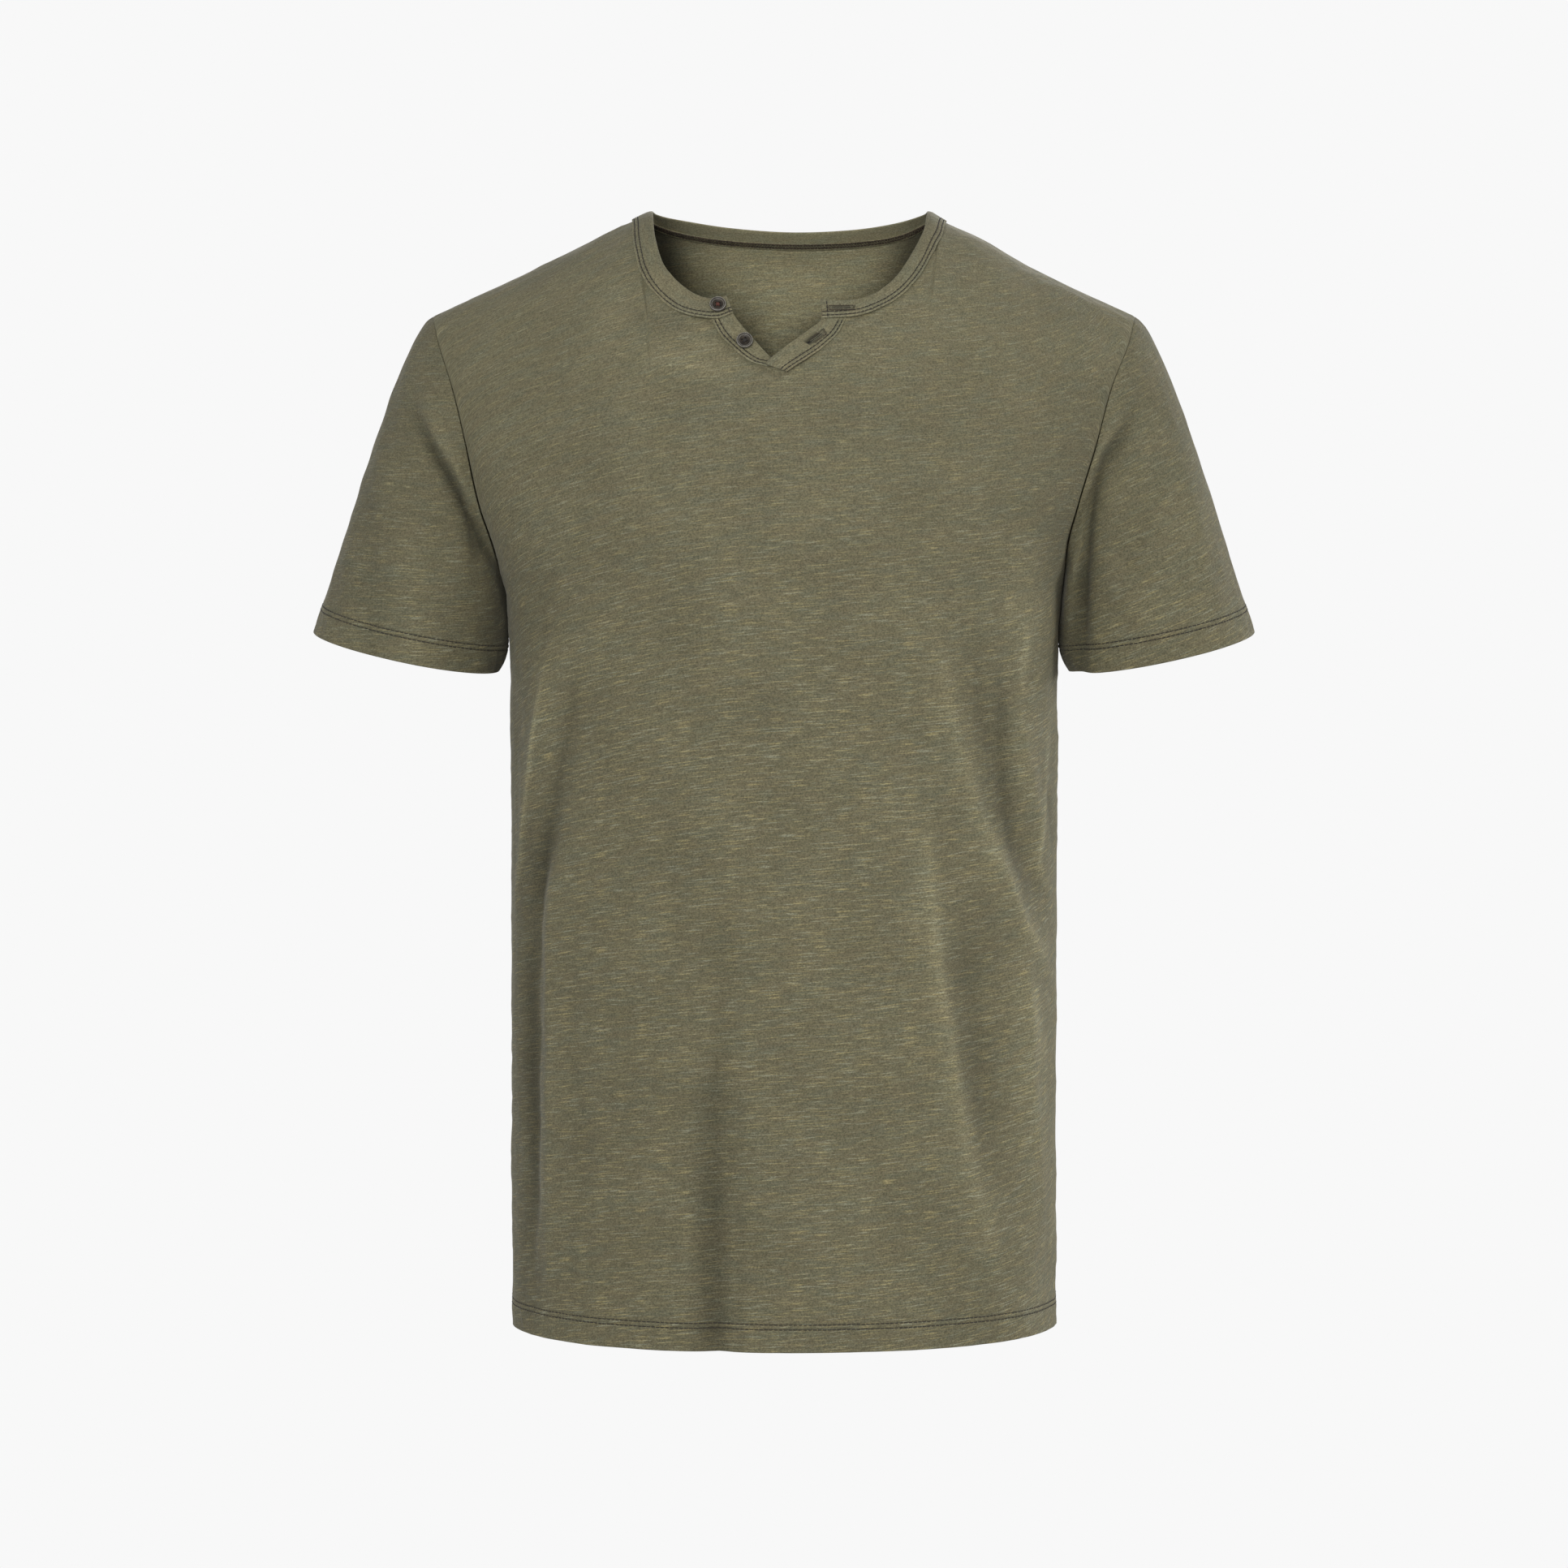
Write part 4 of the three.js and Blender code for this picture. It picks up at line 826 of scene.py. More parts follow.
def button_material():
    """Dark polyester button whose raised rim is a pale, glossy grey."""
    material, tree, shader = new_material("dark_button")
    tone = add(tree, "Attribute", attribute_name="tone").outputs["Fac"]
    place = add(tree, "NewGeometry").outputs["Position"]
    cloud = noise_at(tree, place, (0.0022, 0.0022, 0.0022), 4.0, 4.0)
    scratch = noise_at(tree, place, (0.0004, 0.003, 0.0004), 8.0, 2.0)
    dark = blended(tree, ranged(tree, cloud, 0.35, 0.7), (0.014, 0.010, 0.007), (0.034, 0.026, 0.017))
    pale = blended(tree, ranged(tree, scratch, 0.4, 0.7), (0.19, 0.18, 0.155), (0.42, 0.40, 0.35))
    tree.links.new(blended(tree, tone, dark, pale), shader.inputs["Base Color"])
    tree.links.new(ranged(tree, scratch, 0.3, 0.8, 0.34, 0.5), shader.inputs["Roughness"])
    shader.inputs["Specular IOR Level"].default_value = 0.18
    shader.inputs["Coat Weight"].default_value = 0.03
    shader.inputs["Coat Roughness"].default_value = 0.2
    return material


JERSEY = jersey("slub_jersey", 0.8)
PLAIN_JERSEY = jersey("trim_jersey", 0.25)
STITCHING = thread_material("stitching", (0.024, 0.019, 0.011))
HOLE_THREAD = thread_material("buttonhole_thread", (0.034, 0.023, 0.013))
LIP_THREAD = thread_material("lip_thread", (0.14, 0.128, 0.08))
CHAIN_THREAD = thread_material("chain_thread", (0.05, 0.034, 0.019))
RED_THREAD = thread_material("red_brown_thread", (0.12, 0.028, 0.016))
BLACK_THREAD = thread_material("black_thread", (0.02, 0.016, 0.013))
BUTTON = button_material()


# Panels


def seam_profile(distance):
    """How far cloth rolls in at a distance from a seam."""
    return -SEAM_ROLL * bell(distance, SEAM_WIDTH)


def fold_wear_and_shade(folds):
    """Crests are painted paler and hollows darker: partly wear, the dye fading on the crests, and partly
    painted highlight on the crests and painted shade in the hollows.
    """
    return 0.24 * clamp(folds / 4.5) - 0.27 * clamp(-folds / 5)


def crease_wear_and_shade(creases):
    # Like the folds: crease crests painted paler, partly wear and partly painted highlight, and crease hollows
    # painted darker, partly as painted shade.
    return 0.5 * clamp(creases / 0.9) ** 1.4 - 0.34 * clamp(-creases / 1.0)


def painted_light_and_shade(x, z):
    """Painted light and shade: the wearer's left side and the shoulders are painted paler, as painted light,
    and the right side, under the arm, is painted darker, as painted shade.
    """
    left = ease((x - 118) / 40) * (0.10 + 0.14 * ease((-400 - z) / 120)) * ease((-230 - z) / 60)
    right = ease((-x - 148) / 12) * ease((-230 - z) / 50)
    shoulders = ease((z + 130) / 80)
    return left + 0.13 * shoulders - 0.16 * right * (1 - 0.5 * ease((-430 - z) / 60))


def hem_offsets(height, hem, u):
    """Offsets of a hem's outer and inner faces at a height above its edge, and the tone there."""
    lower, upper = hem["rows"]
    in_hem = 1 - ease((height - hem["depth"]) / 1.0)
    middle = (OUTER + INNER) / 2
    thick = mix(OUTER - INNER, 1.25, in_hem)
    rounding = np.sqrt(1 - (1 - clamp(height / 0.7)) ** 2) * 0.85 + 0.15
    needle = bell(height - lower, 0.55) + bell(height - upper, 0.55)
    tunnel = bell(height - (lower + upper) / 2, 1.1)
    rope = np.sin(2 * math.pi * (u + 0.55 * height) / 9.3 + 1.3 * np.sin(u / 37)) * ease(height / 4)
    rope = rope * (1 - ease((height - lower + 1) / 1.5)) * (0.6 + 0.4 * np.sin(u / 23))
    outer = middle + rounding * thick / 2 + 0.22 * tunnel - 0.3 * needle + 0.16 * rope
    inner = middle - rounding * thick / 2
    # Tone: painted shade along the sunken rows of stitches, painted highlight on the raised cloth between them
    # and on the twisted ridges, and a paler fold edge that is partly wear and partly painted highlight.
    tone = 1 - 0.16 * needle + 0.05 * tunnel + 0.10 * bell(height, 1.2) + 0.03 * rope * in_hem
    return outer, inner, tone


LEVEL_ROWS_TO = {FRONT: 0.3, BACK: 0.72}


HALF_ARC = 280  # nominal length of half a panel, by which its columns are spaced


def panel_columns(side):
    """Places across a panel, from -1 to 1, close together at seams, creases and the sides of the neck."""
    near, far, line_start, line_end, seam = 0.2, 0.33, 0.68, 0.93, 1 - 5 / HALF_ARC
    wide, fine = (3.2, 1.5) if side == FRONT else (4.0, 4.0)
    right = stops(
        (0, near, 4.8 / HALF_ARC), (near, far, 1.8 / HALF_ARC), (far, line_start, wide / HALF_ARC),
        (line_start, line_end, fine / HALF_ARC), (line_end, seam, wide / HALF_ARC),
        (seam, 1, 0.8 / HALF_ARC),
    )
    return np.concatenate([-right[::-1], right[1:]])


def neck_tops(side, share):
    """The level at which each column of a panel ends: the shoulder ridge or the neck hole."""
    level = np.linspace(0, 1, 1201)
    point = panel_point(side, share[None, :], level[:, None])
    edge = HOLE[side][np.argsort(HOLE[side][:, 0])]
    edge_z = np.interp(point[..., 0], edge[:, 0], edge[:, 1], left=1e3, right=1e3)
    over = point[..., 2] - edge_z
    first = np.argmax(over > 0, axis=0)
    cut = over.max(axis=0) > 0
    column = np.arange(len(share))
    high, low = over[first, column], over[np.maximum(first - 1, 0), column]
    crossing = level[np.maximum(first - 1, 0)] + np.where(low < -100, 0.5, -low / (high - low)) * level[1]
    return np.where(cut, np.minimum(crossing, 1), 1)


def slant(u, v):
    """How far the courses have drifted up at u across and v up a panel, in millimetres."""
    right = clamp(-u / 150, 0, 1.9)
    left = clamp(u / HALF_ARC)
    return 0.06 * u - 12 * right ** 2 * (0.5 + 0.9 * ease((v - 150) / 300)) + 47 * left ** 4


def panel_grid(side):
    """Places of a panel's points: level rows up to below the neck, then rows that close up to its top."""
    turn = panel_columns(side)
    share = np.sin(QUARTER * turn)
    top = neck_tops(side, share)
    trunk = ARM_Z - HEM_Z
    low = stops((0, 1.2, 0.3), (1.2, 12, 1.5), (12, 20, 0.5), (20, trunk, 5)) / trunk - 1
    still = LEVEL_ROWS_TO[side]
    chest = np.linspace(0, still, round(110 * still))[1:]
    rest = 1 - (1 - np.linspace(0, 1, round(76 * (1 - still)))[1:]) ** 1.2
    level = np.concatenate([
        np.repeat(np.concatenate([low, chest])[:, None], len(turn), 1),
        still + rest[:, None] * (top - still)[None, :],
    ])
    share = np.broadcast_to(share, level.shape)
    return share, level, len(low), top


def lengths(points, axis):
    """Distance along a grid's lines from their first points."""
    step = np.linalg.norm(np.diff(points, axis=axis), axis=-1)
    start = np.zeros_like(np.take(step, [0], axis=axis))
    return np.concatenate([start, np.cumsum(step, axis=axis)], axis=axis)


def body_panel(side):
    name = "front" if side == FRONT else "back"
    share, level, low_rows, top = panel_grid(side)
    plain = panel_point(side, share, level)
    core = torso_core(plain)
    x, z = plain[..., 0], plain[..., 2]
    u = lengths(plain, 1)
    u = u - u[:, u.shape[1] // 2, None]
    v = lengths(plain, 0)
    to_seam = np.minimum(u - u[:, :1], u[:, -1:] - u)
    to_neck = distance_to(HOLE[side], x, z)

    seam_fade = clamp((1 - np.abs(share)) / EDGE_FADE)
    ridge_fade = ease(QUARTER * (1 - level) / RIDGE_FADE)
    folds = seam_fade * ridge_fade * lifted(PATHS[side], x, z)
    creases = clamp((1 - np.abs(share)) / CREASE_FADE) * lifted(CREASES[side], x, z)
    creases = creases * ease((to_neck - 4.5) / 4)
    calm = ease((to_neck - 5) / 8) * ease(to_seam / 8) * ease(QUARTER * (1 - level) / RIDGE_FADE)
    uneven = 0.30 * ripple(u, v, 11 + side, 46) + 0.14 * ripple(u, v, 21 + side, 17)
    window = ease((to_neck - 4.4) / 2.2) * np.exp(-clamp((to_neck - 4.4) / 7, 0, 9)) * (to_neck < 45)
    along_edge = x + 0.7 * z
    puckers = window * np.sin(2 * math.pi * along_edge / 7.5 + 2 * np.sin(along_edge / 31))
    seam_window = ease(to_seam / 2) * np.exp(-to_seam / 6) * (level > 0.02)
    seam_puckers = seam_window * np.sin(2 * math.pi * v / 8.3 + 2 * np.sin(v / 41))
    normal = facing(lambda s, t: panel_point(side, s, t), share, level, core)
    cloth = plain + normal * (folds + creases + calm * uneven)[..., None]

    at_ridge = np.zeros(level.shape, bool)
    at_ridge[-1] = top >= 1
    at_side = np.zeros(level.shape, bool)
    at_side[:low_rows, 0] = at_side[:low_rows, -1] = True
    at_arm = np.zeros(level.shape, bool)
    at_arm[low_rows:, 0] = at_arm[low_rows:, -1] = True
    flat = at_ridge | at_side
    normal[..., 1] = np.where(flat, 0, normal[..., 1])
    normal = unit(normal)
    cloth[..., 1] += np.where(flat, side * SEAM_GAP / 2, 0)
    cloth[..., 0] -= np.where(at_arm & ~at_ridge, np.sign(share) * SEAM_GAP / 3, 0)

    height = z - HEM_Z
    outer, inner, tone = hem_offsets(height, HEM, u + 40 * side)
    press = read(PRESS, "z", z, "bulge") * bell(to_seam, 16)
    roll = seam_profile(to_seam) * (1 - press) + seam_profile((1 - level) * 250) * (top >= 1)
    outer = outer + roll + PRESS_OUT * press + 0.13 * puckers + 0.12 * seam_puckers
    # Tone: crests of folds, creases and puckers painted paler and their hollows darker, partly wear and partly
    # painted highlight and shade; a painted shadow just outside the strips' sewn edges around the neck hole;
    # painted light and shade down the sides and on the shoulders.
    tone = tone + fold_wear_and_shade(folds) + crease_wear_and_shade(creases)
    tone = tone + 0.05 * puckers + 0.025 * ripple(u, v, 31 + side, 60)
    tone = tone - 0.18 * bell(to_neck - 4.2, 1.1) + 0.05 * bell(to_seam - 2.5, 1.5) + painted_light_and_shade(x, z)
    place = np.stack([u, v - slant(u, v), np.full(u.shape, 300 * side)], -1)
    points = np.stack([cloth + normal * outer[..., None], cloth + normal * inner[..., None]])
    # The inner face is painted brighter up the inside of the back, as painted light, and painted darker near
    # the front opening's edge, as painted shade.
    seen_from_edge = np.maximum(distance_to(HOLE[FRONT], x, z + 10) - 12, 0)
    inside_light_and_shade = mix(0.98, 2.45, ease((z + 125) / 45)) * (1 - 0.74 * bell(seen_from_edge, 14))
    piece = make_piece(
        f"cloth_{name}", points, shell_faces(*level.shape, False), JERSEY,
        np.stack([place, place + (0, 0, 150)]), np.stack([tone, inside_light_and_shade]),
    )
    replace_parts(ride(piece), name)
    return piece, cloth, normal, u


# Sleeves


def armhole(hand, around):
    part = np.mod(around, 2)
    front = panel_point(FRONT, hand + 0 * part, 1 - part)
    back = panel_point(BACK, hand + 0 * part, part - 1)
    return np.where((part <= 1)[..., None], front, back)


def cuff(hand, around):
    out = np.cos(math.pi * around)
    forward = np.sin(math.pi * around)
    (outer_x, outer_z), (inner_x, inner_z) = CUFF["outer"], CUFF["inner"]
    return np.stack([
        hand * mix(inner_x, outer_x, (out + 1) / 2),
        -forward * CUFF["half_depth"],
        mix(inner_z, outer_z, (out + 1) / 2) - forward * CUFF["front_drop"],
    ], -1)


def sleeve_point(hand, around, share):
    """A sleeve's plain point, on a curve from the armhole (share 0) to the cuff (share 1)."""
    around, share = np.broadcast_arrays(around, share)
    away = -np.sin(math.pi * around)

    def pull(rows):
        at = np.cos(math.pi * around)
        side, back, up, length = (read(rows, "out", at, name) for name in list(rows)[1:])
        return unit(np.stack([hand * side, away * back, up], -1)) * length[..., None]

    return hermite(
        share[..., None], armhole(hand, around), pull(SLEEVE_LEAVES), cuff(hand, around),
        pull(SLEEVE_MEETS),
    )


def sleeve(hand):
    name = "sleeve_right" if hand == WEARER_RIGHT else "sleeve_left"
    columns = 208
    around = np.arange(columns) * 2 / columns
    fine = np.linspace(0, 1, 240)
    run = sleeve_point(hand, around[None, :], fine[:, None])
    from_cuff = lengths(run[::-1], 0)
    whole = from_cuff[-1]
    hem_stops = stops((0, 1.2, 0.3), (1.2, 13, 1.6), (13, 21.5, 0.5))
    rest = stops((0, 0.97, 1 / 62), (0.97, 1, 0.006))[1:]
    distance = np.concatenate([
        np.repeat(hem_stops[:, None], columns, 1),
        hem_stops[-1] + rest[:, None] * (whole - hem_stops[-1])[None, :],
    ])[::-1]
    share = np.stack([np.interp(distance[:, i], from_cuff[:, i], fine) for i in range(columns)], 1)
    share = 1 - share
    share[0] = 0
    around = np.broadcast_to(around, share.shape)
    plain = sleeve_point(hand, around, share)
    core = (sleeve_point(hand, 0 * share, share) + sleeve_point(hand, 0 * share + 1, share)) / 2
    x, z = plain[..., 0], plain[..., 2]
    forward = np.sin(math.pi * around)
    front = [fold_path(rows) for rows in SLEEVE_FOLDS[hand]]
    back = [fold_path(rows if hand == WEARER_LEFT else mirrored(rows)) for rows in SLEEVE_BACK_FOLDS]
    fade = ease(share / SLEEVE_FADE) * ease(np.abs(forward) / SLEEVE_RIDGE_FADE)
    folds = fade * np.where(forward > 0, lifted(front, x, z), lifted(back, x, z))
    creases = fade * (forward > 0) * lifted([fold_path(rows) for rows in SLEEVE_CREASES[hand]], x, z)
    from_seam = whole[None, :] - distance
    u = lengths(plain, 1)
    closing = np.linalg.norm(plain[:, 0] - plain[:, -1], axis=-1)
    girth = u[:, -1] + closing
    turn = 2 * math.pi * u / girth[:, None]
    calm = ease(from_seam / 8) * ease(distance / 6)
    uneven = 0.26 * ripple(90 * np.cos(turn), 90 * np.sin(turn) + distance, 51 + hand, 44)
    uneven = uneven + 0.12 * ripple(90 * np.cos(turn) + distance, 90 * np.sin(turn), 61 + hand, 19)
    cloth = plain + grid_normals(plain, core, True) * (folds + creases + calm * uneven)[..., None]
    normal = grid_normals(cloth, core, True)
    cloth[0, :, 0] += hand * 2 * SEAM_GAP / 3

    outer, inner, tone = hem_offsets(distance, CUFF_HEM, u)
    seam_window = ease(from_seam / 2) * np.exp(-from_seam / 7)
    puckers = seam_window * np.sin(2 * math.pi * u / 7.7 + 2 * np.sin(u / 33))
    under = np.abs(around - 1) * girth[:, None] / 2
    press = read(PRESS, "z", z, "bulge") * bell(under, 22)
    outer = outer + seam_profile(from_seam) * (1 - press) + 0.14 * puckers + PRESS_OUT * press
    # Tone: fold, crease and pucker crests painted paler and hollows darker, partly wear and partly painted
    # highlight and shade; painted shade on the front of the underarm beside the body; both sleeves painted a
    # little darker as painted shade, the wearer's right more.
    tone = tone + fold_wear_and_shade(folds) + crease_wear_and_shade(creases) + 0.05 * puckers
    tone = tone + 0.025 * ripple(u, distance, 71 + hand, 60)
    tone = tone - 0.25 * bell(np.abs(x) - 182, 8) * ease((-215 - z) / 25) * (forward > 0)
    tone = tone - (0.08 if hand == WEARER_RIGHT else 0.02)
    skew = -0.2 if hand == WEARER_RIGHT else 0.16
    place = np.stack([u, -distance - skew * u, np.full(u.shape, 700 * hand)], -1)
    points = np.stack([cloth + normal * outer[..., None], cloth + normal * inner[..., None]])
    piece = make_piece(
        f"cloth_{name}", points, shell_faces(*share.shape, True), JERSEY,
        np.stack([place, place + (0, 0, 150)]), np.stack([tone, np.full(tone.shape, 0.98)]),
    )
    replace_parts(ride(piece), name)
    return piece, cloth, normal, distance


# Strips: the neckband and the two plackets

# Across a strip: distance from the edge on that side, and height
SEWN_SIDE = table(
    "distance height",
    (0.1, 0.12), (0.0, 0.35), (0.08, 0.68), (0.35, 0.9), (0.8, 1.0), (1.25, 0.86), (1.5, 0.58), (1.7, 0.46),
    (1.9, 0.58), (2.2, 0.88), (2.7, 1.08), (3.2, 1.08), (3.7, 0.86), (4.0, 0.56), (4.2, 0.46), (4.4, 0.56),
    (4.8, 0.84), (5.5, 0.95),
)
FREE_SIDE = table(
    "distance height",
    (3.6, 0.96), (1.8, 0.94), (0.7, 0.88), (0.2, 0.7), (0.0, 0.42), (0.1, 0.2), (0.5, 0.04),
)
ACROSS = {
    "distance": np.concatenate([SEWN_SIDE["distance"], FREE_SIDE["distance"], [4.0, 2.0]]),
    "height": np.concatenate([SEWN_SIDE["height"], FREE_SIDE["height"], [0.0, 0.0]]),
    "from_sewn": np.array(
        [True] * len(SEWN_SIDE["height"]) + [False] * (len(FREE_SIDE["height"]) + 1) + [True]
    ),
}
FULL_WIDTH = 11  # width of a strip below which its free side's profile narrows


def even_rows(name, step):
    """Row numbers that step evenly along a strip, with its widths and lengths there."""
    rows = STRIPS[name]
    row = np.linspace(0, len(rows["lift"]) - 1, 400)
    lines = np.stack([strip_point(rows, row, share, 0.0)[0] for share in (0, 0.25, 0.5, 0.75, 1)])
    width = lengths(lines, 0)[-1]
    run = lengths(lines[2], 0)
    count = max(2, round(run[-1] / step)) + 1
    at = np.linspace(0, run[-1], count)
    return np.interp(at, run, row), np.interp(at, run, width), at


def strip(name, seed):
    """A folded strip of cloth, puffed between its two rows of stitches."""
    row, width, run = even_rows(name, 1.25)
    row, width, run = row[:, None], width[:, None], run[:, None]
    distance, height, from_sewn = ACROSS["distance"], ACROSS["height"], ACROSS["from_sewn"]
    away = distance * np.where(distance < 5, 1, clamp(width / FULL_WIDTH))
    wobble = 0.13 * ripple(run, 0 * run, seed + 1, 11, 7) * np.where(from_sewn, 1 - distance / 6, 0)
    share = (np.where(from_sewn, away, width - away) + wobble) / width

    puffed = from_sewn & (height > 0.8)
    tall = height * np.where(puffed, 1 + 0.14 * ripple(run, 0 * run, seed, 5.5, 7), 1)
    end = clamp(np.minimum(run, run[-1] - run) / 0.6)
    tall = mix(0.4, tall, np.sqrt(1 - (1 - end) ** 2) * 0.75 + 0.25)
    points, _ = strip_point(STRIPS[name], row, share, tall)

    # Tone: painted shade in the grooves of the stitch rows, painted highlight on the puffed cloth between
    # them, a paler sewn edge that is partly wear and partly painted highlight, and at the back the inner faces
    # painted much brighter as painted light.
    needled = from_sewn & (height < 0.5) & (distance > 1)
    tone = 1.16 + 0.28 * bell(distance, 0.6) * from_sewn + 0.08 * puffed - 0.42 * needled
    tone = tone + 0.03 * ripple(run + 0 * share, share * 20, seed + 2, 14)
    at_back = ease((row - RIGHT_RIDGE + 2) / 2) * ease((LEFT_RIDGE + 2 - row) / 2)
    tone = tone + 1.4 * at_back * (height < 0.3)
    place = np.stack([run + 0 * share, share * width + 5 * (height < 0.3),
        np.full(share.shape, 700.0 * seed)], -1)
    count, around = share.shape
    index = np.arange(count * around).reshape(count, around)
    index = np.concatenate([index, index[:, :1]], axis=1)
    faces = [list(face) for face in quads(index)]
    middle = [count * around, count * around + 1]
    for n, ring in ((0, index[0]), (1, index[-1])):
        order = list(zip(ring[:-1], ring[1:]))
        faces += [(middle[n], b, a) if n == 0 else (middle[n], a, b) for a, b in order]
    points = np.concatenate([points.reshape(-1, 3), [points[0].mean(0), points[-1].mean(0)]])
    place = np.concatenate([place.reshape(-1, 3), [place[0].mean(0), place[-1].mean(0)]])
    tone = np.concatenate([tone.ravel(), [1.0, 1.0]])
    piece = make_piece(f"cloth_{name}", points, faces, PLAIN_JERSEY, place, tone)
    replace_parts(ride(piece), name)
    return piece


def strip_line(name, distance, start=0.0):
    """Points and facing directions along a strip's outer face, at a distance from its sewn edge."""
    row, width, _ = even_rows(name, 1.0)
    keep = row >= start
    return strip_point(STRIPS[name], row[keep], distance / width[keep], STITCH_HEIGHT)


# Sewing


def resampled(points, normals, at):
    run = np.concatenate([[0], np.cumsum(np.linalg.norm(np.diff(points, axis=0), axis=-1))])
    pick = [np.interp(at, run, points[:, n]) for n in range(3)]
    face = [np.interp(at, run, normals[:, n]) for n in range(3)]
    return np.stack(pick, -1), unit(np.stack(face, -1)), run[-1]


SIDES = 5


def tubes(centres, radii, normals):
    """Closed tubes, one for each run of centres: points and faces. centres is tubes x rings x 3."""
    count, rings = centres.shape[:2]
    tangent = unit(np.gradient(centres, axis=1))
    across = unit(np.cross(tangent, normals))
    upward = np.cross(across, tangent)
    angle = 2 * math.pi * np.arange(SIDES) / SIDES
    ring = across[:, :, None] * np.cos(angle)[:, None] + upward[:, :, None] * np.sin(angle)[:, None]
    points = centres[:, :, None] + ring * radii[..., None, None]
    index = np.arange(count * rings * SIDES).reshape(count, rings, SIDES)
    following = np.roll(index, -1, axis=2)
    walls = np.stack([index[:, :-1], following[:, :-1], following[:, 1:], index[:, 1:]], -1).reshape(-1, 4)
    faces = [list(face) for face in walls]
    faces += [list(face[::-1]) for face in index[:, 0]]
    faces += [list(face) for face in index[:, -1]]
    return points.reshape(-1, 3), faces


def stitches(lines, pitch=3.0, share=0.86, radius=0.37, sink=0.2):
    """Short threads along lines of (points, normals), each dipping into the cloth at its ends."""
    all_points, all_faces, count = [], [], 0
    for points, normals in lines:
        total = resampled(points, normals, [0])[2]
        number = max(1, int(total / pitch))
        start = (np.arange(number) + 0.5 * (1 - share)) * total / number
        at = start[:, None] + np.array([0, 0.18, 0.5, 0.82, 1]) * share * total / number
        centre, normal, _ = resampled(points, normals, at.ravel())
        centre = centre.reshape(number, 5, 3)
        normal = normal.reshape(number, 5, 3)
        rise = np.array([-sink, 0.02, 0.12, 0.02, -sink])
        centre = centre + normal * rise[None, :, None]
        radii = np.broadcast_to(radius * np.array([0.6, 1, 1.05, 1, 0.6]), (number, 5))
        made, faces = tubes(centre, radii, normal)
        all_points.append(made)
        all_faces += [[n + count for n in face] for face in faces]
        count += len(made)
    return np.concatenate(all_points), all_faces


def sewn(name, lines, material=STITCHING, **options):
    points, faces = stitches(lines, **options)
    return ride(make_piece(name, points, faces, material))


def hem_lines(cloth, normal, heights, hem, offset=0.0):
    """Lines along a panel's or sleeve's hem at the heights of its rows of stitches."""
    lines = []
    for row in hem["rows"]:
        n = int(np.argmin(np.abs(heights - row)))
        lines.append((cloth[n] + normal[n] * offset, normal[n]))
    return lines


def closed(line):
    points, normals = line
    return np.concatenate([points, points[:1]]), np.concatenate([normals, normals[:1]])


def thread_run(name, runs, radius, material):
    """Continuous threads through lists of (points, normals), as one piece."""
    all_points, all_faces, count = [], [], 0
    for points, normals in runs:
        made, faces = tubes(points[None], np.full((1, len(points)), radius), normals[None])
        all_points.append(made)
        all_faces += [[n + count for n in face] for face in faces]
        count += len(made)
    return ride(make_piece(name, np.concatenate(all_points), all_faces, material))


def seam_allowance():
    """The seam inside the neck: its trimmed allowance, and the chain stitch that covers it."""
    rows = STRIPS["neckband"]
    row, width, run = even_rows("neckband", 1.6)
    keep = (row > 2.4) & (row < 21.6)
    row, width, run = row[keep], width[keep], run[keep]
    under = -along(rows, row, "lift") + INNER
    profile = ((3.4, 0.0), (3.4, -0.4), (2.4, -0.5), (0.0, -0.5), (-2.4, -0.55), (-3.0, -0.4), (-3.0, 0.0))
    away = np.array([p[0] for p in profile])
    deep = np.array([p[1] for p in profile])
    wander = 0.25 * ripple(run, 0 * run, 91, 13, 5)
    share = UNDERLAP + (away[None, :] + wander[:, None] * (away < -2)) / width[:, None]
    points, normal = strip_point(rows, row[:, None], share, under[:, None] + deep[None, :])
    count, around = share.shape
    index = np.arange(count * around).reshape(count, around)
    index = np.concatenate([index, index[:, :1]], axis=1)
    faces = [list(face) for face in quads(index)]
    faces += [list(index[0, :-1]), list(index[-1, :-1][::-1])]
    tone = 1.4 + 0.9 * (away < -2)[None, :] + 0 * share
    place = np.stack([run[:, None] + 0 * share, 40 + share * 12, 0 * share + 500], -1)
    piece = ride(make_piece("neck_seam_allowance", points, faces, PLAIN_JERSEY, place, tone))

    lines = []
    for offset in (2.8, -0.6):
        line, facing_out = strip_point(rows, row, UNDERLAP + offset / width, under - 0.62)
        lines.append((line, -facing_out))
    rows_of = sewn("neck_chain_rows", lines, CHAIN_THREAD, pitch=2.3, share=0.9, radius=0.42)
    number = int(run[-1] / 0.9)
    at = np.linspace(run[0], run[-1], number)
    zig = np.where(np.arange(number) % 2 == 0, 2.7, -0.5)
    share = UNDERLAP + zig / np.interp(at, run, width)
    line, facing_out = strip_point(rows, np.interp(at, run, row), share, np.interp(at, run, under) - 0.8)
    ladder = thread_run("neck_chain_ladder", [(line, -facing_out)], 0.3, CHAIN_THREAD)
    return [piece, rows_of, ladder]


